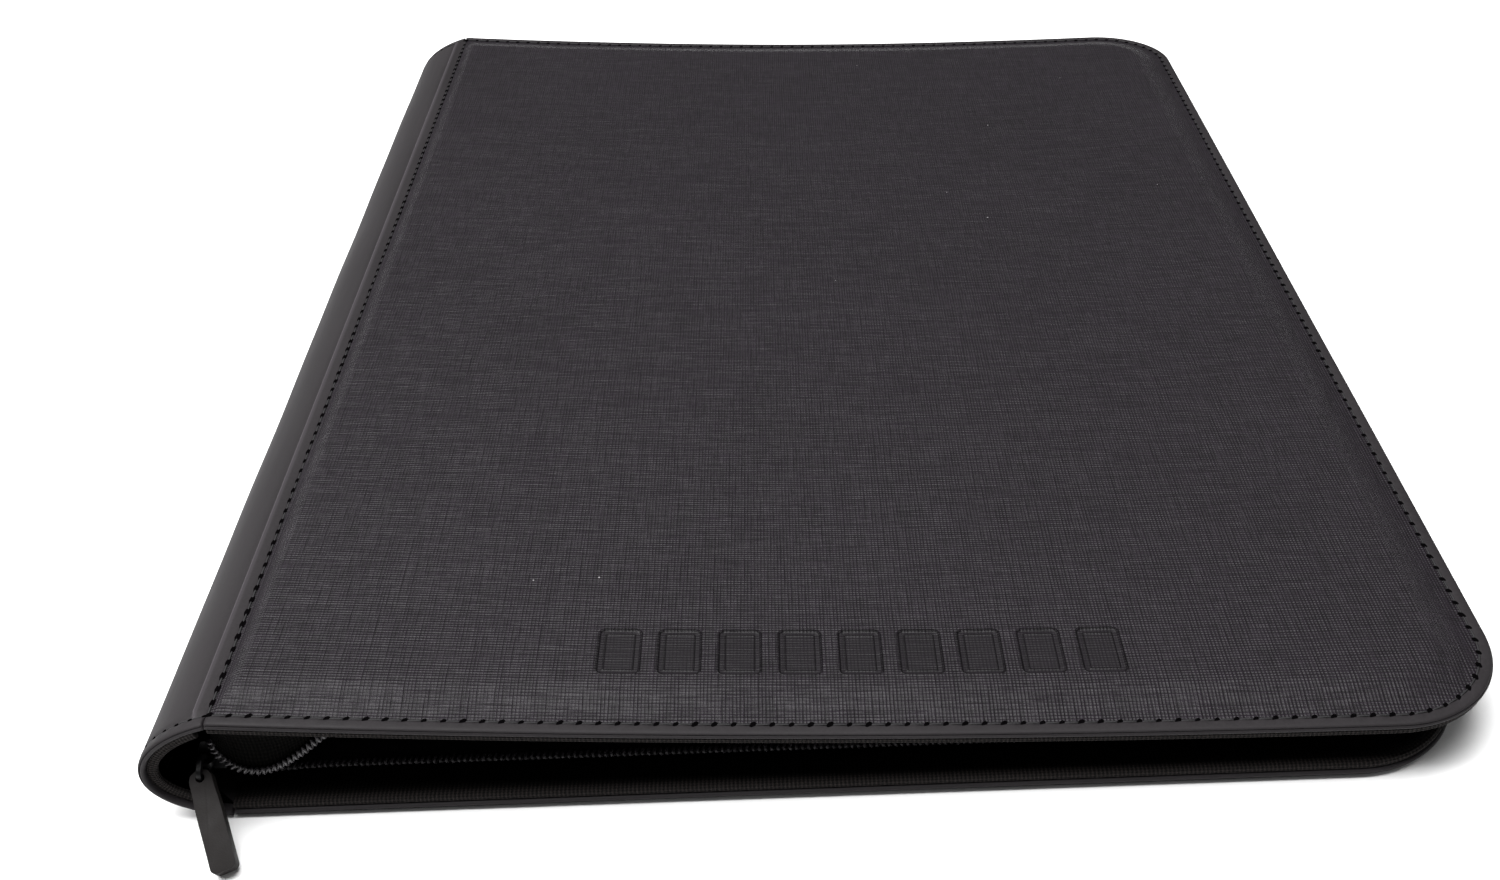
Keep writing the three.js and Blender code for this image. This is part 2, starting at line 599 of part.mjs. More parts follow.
for (let i = 0; i < LEAF_COUNT; i += 1) {
  addPart(`leaf_${String(i + 1).padStart(2, '0')}`, leaf(i), 'film');
}

addPart('zip_slider', sliderBody(), 'metal');
addPull();

export default model;
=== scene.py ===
"""Looks of a zip-around trading card binder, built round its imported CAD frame.

Every piece is a numpy-computed surface in metres in the CAD frame. Sizes written in millimetres are
turned to metres by MM. A cover's "height" is measured outwards from its edge plane, and an "inset" is
measured inwards from its outline.
"""
import json
import math

import bpy
import numpy as np
from mathutils import Matrix, Vector

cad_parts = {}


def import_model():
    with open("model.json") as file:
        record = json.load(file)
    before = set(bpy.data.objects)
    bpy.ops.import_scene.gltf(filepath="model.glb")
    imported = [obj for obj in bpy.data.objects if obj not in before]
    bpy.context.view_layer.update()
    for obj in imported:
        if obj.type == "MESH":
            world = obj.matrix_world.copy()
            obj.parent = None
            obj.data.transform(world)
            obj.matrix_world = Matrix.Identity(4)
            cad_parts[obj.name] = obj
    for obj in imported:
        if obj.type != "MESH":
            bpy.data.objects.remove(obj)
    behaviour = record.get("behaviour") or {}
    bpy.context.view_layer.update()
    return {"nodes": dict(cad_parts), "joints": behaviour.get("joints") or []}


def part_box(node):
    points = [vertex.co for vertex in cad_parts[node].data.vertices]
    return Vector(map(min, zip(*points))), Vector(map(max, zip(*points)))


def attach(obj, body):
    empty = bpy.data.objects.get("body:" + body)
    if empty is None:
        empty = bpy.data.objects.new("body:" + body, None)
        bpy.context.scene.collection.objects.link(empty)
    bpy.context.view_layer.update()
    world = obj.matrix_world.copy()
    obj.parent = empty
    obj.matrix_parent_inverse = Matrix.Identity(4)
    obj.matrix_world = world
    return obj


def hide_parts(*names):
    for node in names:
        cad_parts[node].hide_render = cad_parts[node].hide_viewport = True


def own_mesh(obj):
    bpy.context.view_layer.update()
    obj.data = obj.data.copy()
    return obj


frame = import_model()
NODES = frame["nodes"]
JOINTS = {joint["name"]: joint for joint in frame["joints"]}
MM = 0.001
RNG = np.random.default_rng(11)

# ---- sizes that the frame doesn't hold ----
CORNER_RADIUS = 24 * MM
STITCH_PITCH = 3.64 * MM
STITCH_INSET = 2.7 * MM
THREAD_RADIUS = 0.2 * MM
PANEL_HEIGHT = {"front": 1.7 * MM, "back": 0.4 * MM}  # padded panel outside the edge plane
BACK_PRESS = 0.5 * MM  # the binder's weight presses the back cover's rim this far down
PANEL_SLOPE = 9 * MM  # from the stitch groove to the level panel
GROOVE_DEPTH = 0.28 * MM
SKIN_THICKNESS = 0.6 * MM
SKIN_INSET = 2.0 * MM
LINING_INSET = 2.7 * MM
SPINE_INSET = 2.3 * MM
COIL_PITCH = 1.22 * MM
COIL_WIRE = 0.33 * MM
COIL_WIDTH = 2.0 * MM
COIL_HEIGHT = 1.3 * MM
CARD_COUNT = 9
CARD_SIZE = (8.4 * MM, 12.6 * MM)
CARD_PITCH = 11.9 * MM
CARD_ROW_Y = 20.6 * MM  # middle of the debossed row above the near edge
DEBOSS_DEPTH = 0.3 * MM
CARD_FRAME = 1.3 * MM  # from a card's outline in to its inner frame line
CARD_REACH = 2 * MM  # distance outside a card at which its edge attribute runs out

# ---- places taken from the frame ----
HINGE_X = JOINTS["front_cover_fold"]["pos_m"][0]
NEAR_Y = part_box("front_edge_binding")[0][1]
FAR_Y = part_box("front_edge_binding")[1][1]


class Cover:
    """One cover: its outline, the height of its edge plane across x, and which way is outwards."""

    def __init__(self, name, outwards):
        """Fits the quadratic edge plane to the outer face of the cover's packed binding."""
        self.name = name
        self.outwards = outwards
        low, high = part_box(name + "_edge_binding")
        self.start_x = low[0]
        self.fore_x = high[0]
        points = np.array([v.co for v in NODES[name + "_edge_binding"].data.vertices])
        x, z = points[:, 0], points[:, 2] * outwards
        middle = np.polyfit(x, z, 2)
        outer = z > np.polyval(middle, x)
        self.plane = np.polyfit(x[outer], z[outer], 2) * outwards
        self.plane[2] -= BACK_PRESS if name == "back" else 0
        self.panel = PANEL_HEIGHT[name]
        self.body = name + "_cover"

    def z(self, x, height):
        """Edge plane's quadratic across x, plus an outward height."""
        return np.polyval(self.plane, x) + self.outwards * np.asarray(height)


FRONT = Cover("front", 1)
BACK = Cover("back", -1)


# ---- mesh code ----
def new_mesh(name, points, faces, uv=None, marks=None, smooth=True):
    """Puts point and face arrays into a mesh object, turned outside out if its signed volume is negative.

    faces is a list of integer arrays, each of quads or triangles. uv holds one pair for each point, and
    marks maps an attribute's name to one value for each point.
    """
    points = np.asarray(points, float).reshape(-1, 3)
    volume = 0.0
    for group in faces:
        a, b = points[group[:, 0]], points[group[:, 1]]
        for k in range(2, group.shape[1]):
            c = points[group[:, k]]
            volume += np.einsum("ij,ij->i", a, np.cross(b, c)).sum()
            b = c
    if volume < 0:
        faces = [group[:, ::-1] for group in faces]
    loops = np.concatenate([group.ravel() for group in faces]).astype(np.int32)
    sizes = np.concatenate([np.full(len(group), group.shape[1]) for group in faces]).astype(np.int32)
    starts = np.concatenate([[0], np.cumsum(sizes)[:-1]]).astype(np.int32)
    mesh = bpy.data.meshes.new(name)
    mesh.vertices.add(len(points))
    mesh.vertices.foreach_set("co", points.ravel())
    mesh.loops.add(len(loops))
    mesh.loops.foreach_set("vertex_index", loops)
    mesh.polygons.add(len(sizes))
    mesh.polygons.foreach_set("loop_start", starts)
    mesh.polygons.foreach_set("use_smooth", np.full(len(sizes), smooth))
    if uv is not None:
        layer = mesh.uv_layers.new(name="run")
        layer.data.foreach_set("uv", np.asarray(uv, float).reshape(-1, 2)[loops].ravel())
    for mark, values in (marks or {}).items():
        attribute = mesh.attributes.new(mark, "FLOAT", "POINT")
        attribute.data.foreach_set("value", np.asarray(values, float).ravel())
    mesh.update(calc_edges=True)
    mesh.validate()
    obj = bpy.data.objects.new(name, mesh)
    bpy.context.scene.collection.objects.link(obj)
    return obj


def grid_faces(rows, columns, wrap_rows=False, wrap_columns=False, offset=0):
    """Quads of a grid whose point (i, j) has index offset + i * columns + j."""
    i = np.arange(rows if wrap_rows else rows - 1)
    j = np.arange(columns if wrap_columns else columns - 1)
    i, j = [part.ravel() for part in np.meshgrid(i, j, indexing="ij")]
    i2, j2 = (i + 1) % rows, (j + 1) % columns
    return offset + np.stack([i * columns + j, i2 * columns + j, i2 * columns + j2, i * columns + j2], 1)


def fan(ring, hub):
    """Triangles from a closed ring of point indices to one hub."""
    ring = np.asarray(ring)
    return np.stack([ring, np.roll(ring, -1), np.full(len(ring), hub)], 1)


def swept(name, grid, uv=None, marks=None):
    """A closed section (second index) carried along stations (first index), with a fan over each end."""
    rows, columns = grid.shape[:2]
    hubs = np.stack([grid[0].mean(0), grid[-1].mean(0)])
    points = np.concatenate([grid.reshape(-1, 3), hubs])
    count = rows * columns
    first, last = np.arange(columns), np.arange(count - columns, count)
    faces = [grid_faces(rows, columns, wrap_columns=True), fan(first, count), fan(last[::-1], count + 1)]
    if uv is not None:
        uv = np.concatenate([uv.reshape(-1, 2), uv[0, :1], uv[-1, :1]])
    if marks:
        marks = {key: np.concatenate([value.ravel(), [0, 0]]) for key, value in marks.items()}
    return new_mesh(name, points, faces, uv, marks)


def slab(name, top, bottom, marks=None):
    """A sheet with a top grid and a bottom grid of the same size, closed by quads round the rim."""
    rows, columns = top.shape[:2]
    count = rows * columns
    index = np.arange(count).reshape(rows, columns)
    rim = np.concatenate([index[0], index[1:, -1], index[-1, -2::-1], index[-2:0:-1, 0]])
    ahead = np.roll(rim, -1)
    upper = grid_faces(rows, columns)
    faces = [upper, grid_faces(rows, columns, offset=count)[:, ::-1],
             np.stack([rim, rim + count, ahead + count, ahead], 1)]
    points = np.concatenate([top.reshape(-1, 3), bottom.reshape(-1, 3)])
    if marks:
        marks = {key: np.concatenate([value.ravel()] * 2) for key, value in marks.items()}
    return new_mesh(name, points, faces, marks=marks)


def carried_along_y(section, y):
    """A grid of x, y and z from sections of x and z, and the y of each."""
    return np.stack([section[..., 0], np.broadcast_to(y, section.shape[:2]), section[..., 1]], -1)


def squared(wave, power):
    """A sine or cosine flattened towards a square wave, which makes a superellipse of a circle."""
    return np.sign(wave) * np.abs(wave) ** power


def many_tubes(name, grids):
    """Many closed tubes in one mesh: grids has tubes, rings, sides and xyz; every tube ends in points."""
    tubes, rings, sides = grids.shape[:3]
    one = grid_faces(rings, sides, wrap_columns=True)
    caps = np.concatenate([np.arange(sides)[::-1], np.arange((rings - 1) * sides, rings * sides)])
    caps = caps.reshape(2, sides)
    steps = (np.arange(tubes) * rings * sides)[:, None, None]
    quads = (one[None] + steps).reshape(-1, 4)
    ends = (caps[None] + steps).reshape(-1, sides)
    return new_mesh(name, grids.reshape(-1, 3), [quads, ends])


def ramp(value, low, high):
    """Smooth step from 0 at low to 1 at high."""
    t = np.clip((np.asarray(value, float) - low) / (high - low), 0, 1)
    return t * t * (3 - 2 * t)


def distance_along(points):
    """Travel from the first point to each point of a polyline."""
    return np.concatenate([[0], np.cumsum(np.linalg.norm(np.diff(points, axis=0), axis=1))])


def resample(points, spacing):
    """Points at even distances along a polyline, and the distance of each."""
    points = np.asarray(points, float)
    travel = distance_along(points)
    count = max(2, int(round(travel[-1] / spacing)) + 1)
    even = np.linspace(0, travel[-1], count)
    return np.stack([np.interp(even, travel, points[:, k]) for k in range(points.shape[1])], 1), even


def between(a, b, c, d, t):
    """Catmull-Rom cubic from b to c as t goes from 0 to 1, with a before them and d after."""
    return 0.5 * (2 * b + (c - a) * t + (2 * a - 5 * b + 4 * c - d) * t**2 + (3 * b - a - 3 * c + d) * t**3)


def spline(points, count):
    """Catmull-Rom curve through a few points."""
    p = np.asarray(points, float)
    p = np.concatenate([[2 * p[0] - p[1]], p, [2 * p[-1] - p[-2]]])
    s = np.linspace(0, len(p) - 3 - 1e-9, count)
    k = s.astype(int)
    t = (s - k)[:, None]
    return between(p[k], p[k + 1], p[k + 2], p[k + 3], t)


def undulation(x, y, size, amount):
    """Slow hand-made unevenness: a sum of a few seeded sine waves about one size long."""
    total = np.zeros(np.broadcast(x, y).shape)
    for _ in range(6):
        angle, phase, stretch = RNG.uniform(0, 2 * math.pi, 2).tolist() + [RNG.uniform(0.7, 1.6)]
        total += np.sin((np.cos(angle) * x + np.sin(angle) * y) * 2 * math.pi / (size * stretch) + phase)
    return total * amount / 6


# ---- the cover's rim ----
def rim_length(cover, inset):
    """Travel round the three free edges along a line set in from the outline."""
    straight = cover.fore_x - CORNER_RADIUS - cover.start_x
    corner = (CORNER_RADIUS - inset) * math.pi / 2
    return 2 * straight + 2 * corner + (FAR_Y - NEAR_Y - 2 * CORNER_RADIUS)


def rim_at(cover, travel, inset):
    """Outline point and inward normal after some travel from the near end of the seam, counted along inset.

    Each corner centre slides along its straight edges, while the angle turns a quarter at each corner.
    """
    straight = cover.fore_x - CORNER_RADIUS - cover.start_x
    corner = (CORNER_RADIUS - inset) * math.pi / 2
    side = FAR_Y - NEAR_Y - 2 * CORNER_RADIUS
    marks = np.cumsum([straight, corner, side, corner])
    turn = np.clip((travel - marks[0]) / corner, 0, 1) + np.clip((travel - marks[2]) / corner, 0, 1)
    angle = (turn - 1) * math.pi / 2
    centre_x = cover.start_x + np.clip(travel, 0, straight) - np.clip(travel - marks[3], 0, straight)
    centre_y = NEAR_Y + CORNER_RADIUS + np.clip(travel - marks[1], 0, side)
    outward = np.stack([np.cos(angle), np.sin(angle)], -1)
    return np.stack([centre_x, centre_y], -1) + CORNER_RADIUS * outward, -outward


def rim_sweep(cover, travel, inset_line, inset, height):
    """A section of insets and heights carried round the rim; either may vary with travel."""
    base, inward = rim_at(cover, travel, inset_line)
    inset = np.broadcast_to(inset, (len(travel), np.shape(inset)[-1]))
    plan = base[:, None] + inward[:, None] * inset[..., None]
    z = cover.z(plan[..., 0], np.broadcast_to(height, inset.shape))
    return np.concatenate([plan, z[..., None]], -1)


def edge_distance(cover, x, y):
    """Distance inwards from the outline: the nearest straight edge, or the corner's radius less reach."""
    dx = cover.fore_x - x
    dy = np.minimum(y - NEAR_Y, FAR_Y - y)
    reach = np.hypot(np.maximum(CORNER_RADIUS - dx, 0), np.maximum(CORNER_RADIUS - dy, 0))
    return np.where((dx < CORNER_RADIUS) & (dy < CORNER_RADIUS), CORNER_RADIUS - reach, np.minimum(dx, dy))


def plan_grid(cover, inset, start_x, across, corner_rows, extra):
    """Rows along the rounded plan of a cover layer.

    across holds shares from 0 at the spine to 1 at the fore edge. Rows in the corners are spaced as the
    arc's sine steps, joined by the extra rows' y, and each row ends on the arc or the straight edge.
    """
    radius = CORNER_RADIUS - inset
    rise = radius * (1 - np.cos(np.linspace(0, math.pi / 2, corner_rows)))
    y = np.concatenate([NEAR_Y + inset + rise, extra, FAR_Y - inset - rise])
    y = np.unique(np.round(y, 6))
    y = y[np.concatenate([[True], np.diff(y) > 0.05 * MM])]
    short = np.clip(radius - np.minimum(y - NEAR_Y - inset, FAR_Y - inset - y), 0, radius)
    end = cover.fore_x - inset - radius + np.sqrt(radius**2 - short**2)
    x = start_x + (end[:, None] - start_x) * across[None]
    return x, np.broadcast_to(y[:, None], x.shape)


def skin_height(cover, x, y):
    """Groove under the stitches, a slope up to the padded panel on every side, and a valley by the spine."""
    inset = edge_distance(cover, x, y)
    t = np.clip((inset - STITCH_INSET - 0.3 * MM) / PANEL_SLOPE, 0, 1)
    rise = 0.45 * t + 0.55 * t * t * (3 - 2 * t)
    edge = -GROOVE_DEPTH + (cover.panel + GROOVE_DEPTH) * rise
    across = x - HINGE_X
    valley = -0.75 * MM + (cover.panel + 0.75 * MM) * ramp(across, 0.6 * MM, 5.5 * MM) ** 0.7
    return np.minimum(edge, valley)


def card_row(x, y):
    """Signed distance in metres to the nearest card of the debossed row, negative inside it.

    The rounded rectangle's distance is the length of the overshoot past a smaller box, less the radius.
    """
    local = (x - (HINGE_X + FRONT.fore_x) / 2) / CARD_PITCH
    index = np.clip(np.round(local), -(CARD_COUNT // 2), CARD_COUNT // 2)
    radius = 1.3 * MM
    du = np.abs(local - index) * CARD_PITCH - CARD_SIZE[0] / 2 + radius
    dv = np.abs(y - NEAR_Y - CARD_ROW_Y) - CARD_SIZE[1] / 2 + radius
    return np.hypot(np.maximum(du, 0), np.maximum(dv, 0)) + np.minimum(np.maximum(du, dv), 0) - radius


# ---- materials ----
LINEN_GLOSS = 0.21  # specular level of the open weave


def hex_colour(code):
    """sRGB hex to linear RGBA."""
    parts = np.array([int(code[i:i + 2], 16) / 255 for i in (1, 3, 5)])
    linear = np.where(parts <= 0.04045, parts / 12.92, ((parts + 0.055) / 1.055) ** 2.4)
    return (*linear.tolist(), 1.0)


def material(name):
    """A new node material with its shader and output."""
    made = bpy.data.materials.new(name)
    made.use_nodes = True
    tree = made.node_tree
    tree.nodes.clear()
    shader = tree.nodes.new("ShaderNodeBsdfPrincipled")
    output = tree.nodes.new("ShaderNodeOutputMaterial")
    tree.links.new(shader.outputs[0], output.inputs["Surface"])
    return made, tree, shader


def node(tree, kind, settings=None, **inputs):
    """Adds a node; settings are its properties, inputs are socket values or other nodes' outputs."""
    made = tree.nodes.new("ShaderNode" + kind)
    for key, value in (settings or {}).items():
        setattr(made, key, value)
    for key, value in inputs.items():
        name = key.replace("_", " ")
        socket = made.inputs[int(key[1:])] if key[0] == "i" and key[1:].isdigit() else made.inputs[name]
        if isinstance(value, bpy.types.NodeSocket):
            tree.links.new(value, socket)
        else:
            socket.default_value = value
    return made


def maths(tree, operation, a, b=0.0, c=0.0):
    """One Math node's output."""
    return node(tree, "Math", {"operation": operation}, i0=a, i1=b, i2=c).outputs[0]


def stretched_noise(tree, coordinates, sizes, detail=2.0):
    """Noise whose cell has the given size along x, y and z, in metres."""
    scale = tuple(0.0 if size is None else 1 / size for size in sizes)
    mapped = node(tree, "Mapping", Vector=coordinates, Scale=scale).outputs[0]
    return node(tree, "TexNoise", {"noise_dimensions": "3D"}, Vector=mapped, Scale=1.0, Detail=detail,
                Roughness=0.55).outputs[0]


def remap(tree, value, low, high, to_low, to_high):
    """Linear Map Range, clamped."""
    return node(tree, "MapRange", Value=value, From_Min=low, From_Max=high, To_Min=to_low,
                To_Max=to_high).outputs[0]


def tint(tree, factor, dark, light):
    """Colour between two hex values."""
    mix = node(tree, "Mix", {"data_type": "RGBA"}, i0=factor)
    mix.inputs[6].default_value = hex_colour(dark)
    mix.inputs[7].default_value = hex_colour(light)
    return mix.outputs[2]


def bump(tree, shader, height, distance, strength=1.0):
    """Bump of a real height in metres on a shader."""
    made = node(tree, "Bump", Height=height, Distance=distance, Strength=strength)
    tree.links.new(made.outputs[0], shader.inputs["Normal"])


def linen_faux_leather():
    """PVC faux leather hot-embossed with a linen weave: crossed threads 0.7 mm apart with long slubs.

    The threads' crowns are painted a lighter grey, a painted highlight. The debossed cards show as thin dark
    grooved lines, an outline and an inner frame darkened with painted shade, on faces where the weave is
    pressed flatter.
    """
    made, tree, shader = material("faux_leather_embossed_linen")
    place = node(tree, "TexCoord").outputs["Object"]
    thread, slub = 0.7 * MM, 10 * MM
    weft = stretched_noise(tree, place, (slub, thread * 0.8, None), 3.0)
    warp = stretched_noise(tree, place, (thread * 0.8, slub, None), 3.0)
    split = node(tree, "SeparateXYZ", Vector=place)
    ribs = []
    for axis in (0, 1):
        phase = maths(tree, "MULTIPLY", split.outputs[axis], 2 * math.pi / thread)
        ribs.append(maths(tree, "SINE", phase))
    weave = maths(tree, "MULTIPLY", maths(tree, "ADD", ribs[0], ribs[1]), 0.16)
    streaks = maths(tree, "ADD", weft, warp)
    height = maths(tree, "ADD", maths(tree, "MULTIPLY", streaks, 1.0), weave)
    card = node(tree, "Attribute", {"attribute_name": "card"}).outputs["Fac"]
    edge_at = CARD_REACH / MM
    outline = maths(tree, "ABSOLUTE", maths(tree, "SUBTRACT", card, edge_at))
    frame_line = maths(tree, "ABSOLUTE", maths(tree, "SUBTRACT", card, edge_at + CARD_FRAME / MM))
    outline = remap(tree, outline, 0.06, 0.3, 0.6, 0.0)
    frame_line = remap(tree, frame_line, 0.05, 0.24, 0.3, 0.0)
    # painted shade: the card outline and frame grooves darken the base colour; the same mask also cuts the
    # grooves in the bump and lowers the gloss
    card_groove_shade = maths(tree, "MAXIMUM", outline, frame_line)
    pressed = remap(tree, card, edge_at, edge_at + 0.3, 0.0, 1.0)
    open_grain = maths(tree, "SUBTRACT", 1.0, maths(tree, "MULTIPLY", pressed, 0.6))
    cloud = stretched_noise(tree, place, (60 * MM, 60 * MM, None), 3.0)
    # painted highlight: the base colour is lighter on the raised crowns of the threads
    crown = remap(tree, height, 0.78, 1.22, 0.0, 1.0)
    shade = maths(tree, "MULTIPLY", crown, open_grain)
    shade = maths(tree, "ADD", shade, maths(tree, "MULTIPLY", cloud, 0.35))
    shade = maths(tree, "SUBTRACT", shade, maths(tree, "MULTIPLY", card_groove_shade, 1.2))
    base = tint(tree, remap(tree, shade, 0.0, 1.35, 0.0, 1.0), "#080608", "#1f1a20")
    specks = node(tree, "TexVoronoi", {"feature": "F1"}, Vector=place, Scale=1 / (17 * MM))
    dust = maths(tree, "LESS_THAN", specks.outputs["Distance"], 0.011)
    mix = node(tree, "Mix", {"data_type": "RGBA"}, i0=dust, i6=base)
    mix.inputs[7].default_value = hex_colour("#8d8a8c")
    tree.links.new(mix.outputs[2], shader.inputs["Base Color"])
    rough = remap(tree, crown, 0.0, 1.0, 0.52, 0.4)
    tree.links.new(rough, shader.inputs["Roughness"])
    tree.links.new(remap(tree, card_groove_shade, 0.0, 1.0, LINEN_GLOSS, 0.04), shader.inputs["Specular IOR Level"])
    relief = maths(tree, "SUBTRACT", maths(tree, "MULTIPLY", height, open_grain),
                   maths(tree, "MULTIPLY", card_groove_shade, 1.5))
    bump(tree, shader, relief, 0.22 * MM, 1.0)
    return made


def smooth_faux_leather():
    """Smooth matte faux leather, calendered: a fine pebble and faint stretch marks, soft broad highlights.

    Where it is folded sharply over a hem, the crease is painted paler, a painted highlight along its ridge.
    """
    made, tree, shader = material("faux_leather_smooth_calendered")
    place = node(tree, "TexCoord").outputs["Object"]
    pebble = stretched_noise(tree, place, (0.45 * MM,) * 3, 3.0)
    stretch = stretched_noise(tree, place, (5 * MM, 40 * MM, 5 * MM), 3.0)
    shade = maths(tree, "ADD", maths(tree, "MULTIPLY", pebble, 0.5), maths(tree, "MULTIPLY", stretch, 0.5))
    body = tint(tree, remap(tree, shade, 0.35, 0.65, 0.0, 1.0), "#171416", "#211e20")
    # painted highlight: the crease along each hem is painted paler
    crease_highlight = node(tree, "Attribute", {"attribute_name": "crease_highlight"}).outputs["Fac"]
    mix = node(tree, "Mix", {"data_type": "RGBA"}, i0=maths(tree, "MULTIPLY", crease_highlight, 0.55), i6=body)
    mix.inputs[7].default_value = hex_colour("#4d494d")
    tree.links.new(mix.outputs[2], shader.inputs["Base Color"])
    tree.links.new(remap(tree, stretch, 0.3, 0.7, 0.62, 0.74), shader.inputs["Roughness"])
    shader.inputs["Specular IOR Level"].default_value = 0.22
    shader.distribution = "GGX"
    bump(tree, shader, shade, 0.1 * MM, 0.6)
    return made


def bonded_thread():
    """Bonded polyester sewing thread: dark, twisted at about 0.3 mm, with a dull sheen."""
    made, tree, shader = material("polyester_thread_bonded")
    place = node(tree, "TexCoord").outputs["Object"]
    twist = stretched_noise(tree, place, (0.3 * MM,) * 3, 1.0)
    tree.links.new(tint(tree, remap(tree, twist, 0.4, 0.6, 0.0, 1.0), "#060507", "#141215"),
                   shader.inputs["Base Color"])
    shader.inputs["Roughness"].default_value = 0.75
    bump(tree, shader, twist, 0.08 * MM)
    return made


def needle_hole_shadow():
    """Painted shadow inside a needle hole: near-black with no gloss, so that it reads as a pit."""
    made, tree, shader = material("needle_hole_painted_shadow")
    place = node(tree, "TexCoord").outputs["Object"]
    grain = stretched_noise(tree, place, (0.3 * MM,) * 3, 1.0)
    # painted shadow: near-black colour stands for the shade inside a needle hole
    tree.links.new(tint(tree, grain, "#020202", "#070607"), shader.inputs["Base Color"])
    shader.inputs["Roughness"].default_value = 1.0
    shader.inputs["Specular IOR Level"].default_value = 0.0
    return made


def woven_tape():
    """Woven polyester zip tape: ribs 0.8 mm apart with a finer cross weave, painted paler as lit along its
    lip and near-black with painted shade elsewhere.
    """
    made, tree, shader = material("polyester_tape_woven")
    run = node(tree, "UVMap", {"uv_map": "run"}).outputs[0]
    split = node(tree, "SeparateXYZ", Vector=run)
    rib_phase = maths(tree, "MULTIPLY", split.outputs[0], 2 * math.pi / (0.8 * MM))
    pick_phase = maths(tree, "MULTIPLY", split.outputs[1], 2 * math.pi / (0.62 * MM))
    rib = maths(tree, "SINE", rib_phase)
    pick = maths(tree, "SINE", pick_phase)
    fuzz = stretched_noise(tree, run, (0.5 * MM, 0.5 * MM, None), 2.0)
    height = maths(tree, "ADD", maths(tree, "MULTIPLY", rib, 0.5), maths(tree, "MULTIPLY", pick, 0.3))
    height = maths(tree, "ADD", height, maths(tree, "MULTIPLY", fuzz, 0.8))
    # painted light and shade: this mark picks the paler lit tone, its absence the near-black tone of painted
    # shade
    painted_lit = node(tree, "Attribute", {"attribute_name": "painted_lit"}).outputs["Fac"]
    crest = remap(tree, height, -0.1, 1.0, 0.0, 1.0)
    shaded_tone = tint(tree, crest, "#010101", "#0a0908")
    lit_tone = tint(tree, crest, "#070606", "#24201f")
    mix = node(tree, "Mix", {"data_type": "RGBA"}, i0=painted_lit, i6=shaded_tone, i7=lit_tone)
    tree.links.new(mix.outputs[2], shader.inputs["Base Color"])
    shader.inputs["Roughness"].default_value = 0.88
    tree.links.new(remap(tree, painted_lit, 0.0, 1.0, 0.03, 0.12), shader.inputs["Specular IOR Level"])
    bump(tree, shader, height, 0.18 * MM)
    return made


def nylon_coil():
    """Drawn nylon monofilament, dyed black: satin, with pale glints on the crowns of the turns."""
    made, tree, shader = material("nylon_monofilament_drawn")
    place = node(tree, "TexCoord").outputs["Object"]
    streak = stretched_noise(tree, place, (0.6 * MM,) * 3, 2.0)
    tree.links.new(tint(tree, streak, "#181618", "#3a373a"), shader.inputs["Base Color"])
    tree.links.new(remap(tree, streak, 0.3, 0.7, 0.26, 0.4), shader.inputs["Roughness"])
    shader.inputs["IOR"].default_value = 1.53
    bump(tree, shader, streak, 0.02 * MM)
    return made


def enamelled_zinc():
    """Die-cast zinc dipped in black enamel: semi-gloss, slightly worn to grey on the high spots."""
    made, tree, shader = material("zinc_cast_black_enamel")
    place = node(tree, "TexCoord").outputs["Object"]
    wear = stretched_noise(tree, place, (1.2 * MM,) * 3, 4.0)
    tree.links.new(tint(tree, remap(tree, wear, 0.45, 0.7, 0.0, 1.0), "#040405", "#101010"),
                   shader.inputs["Base Color"])
    tree.links.new(remap(tree, wear, 0.3, 0.7, 0.34, 0.5), shader.inputs["Roughness"])
    shader.inputs["Specular IOR Level"].default_value = 0.15
    bump(tree, shader, wear, 0.05 * MM, 0.5)
    return made


def moulded_rubber():
    """Moulded soft rubber pull: matte warm black with a fine satin skin and faint handling marks."""
    made, tree, shader = material("rubber_moulded_matte")
    place = node(tree, "TexCoord").outputs["Object"]
    skin = stretched_noise(tree, place, (0.35 * MM,) * 3, 3.0)
    marks = stretched_noise(tree, place, (4 * MM,) * 3, 3.0)
    tree.links.new(tint(tree, marks, "#0e0b0b", "#171413"), shader.inputs["Base Color"])
    tree.links.new(remap(tree, marks, 0.3, 0.7, 0.58, 0.72), shader.inputs["Roughness"])
    shader.inputs["Specular IOR Level"].default_value = 0.16
    bump(tree, shader, skin, 0.05 * MM, 0.7)
    return made


def lining_cloth():
    """Black woven nylon lining: tight 0.45 mm plain weave, dull, with slight colour drift."""
    made, tree, shader = material("nylon_lining_woven")
    place = node(tree, "TexCoord").outputs["Object"]
    split = node(tree, "SeparateXYZ", Vector=place)
    waves = [maths(tree, "SINE", maths(tree, "MULTIPLY", split.outputs[axis], 2 * math.pi / (0.45 * MM)))
             for axis in (0, 1)]
    weave = maths(tree, "MULTIPLY", waves[0], waves[1])
    drift = stretched_noise(tree, place, (25 * MM,) * 3, 3.0)
    shade = maths(tree, "ADD", maths(tree, "MULTIPLY", weave, 0.2), drift)
    tree.links.new(tint(tree, remap(tree, shade, 0.1, 0.9, 0.0, 1.0), "#060506", "#100f11"),
                   shader.inputs["Base Color"])
    shader.inputs["Roughness"].default_value = 0.9
    shader.inputs["Specular IOR Level"].default_value = 0.2
    bump(tree, shader, weave, 0.06 * MM)
    return made


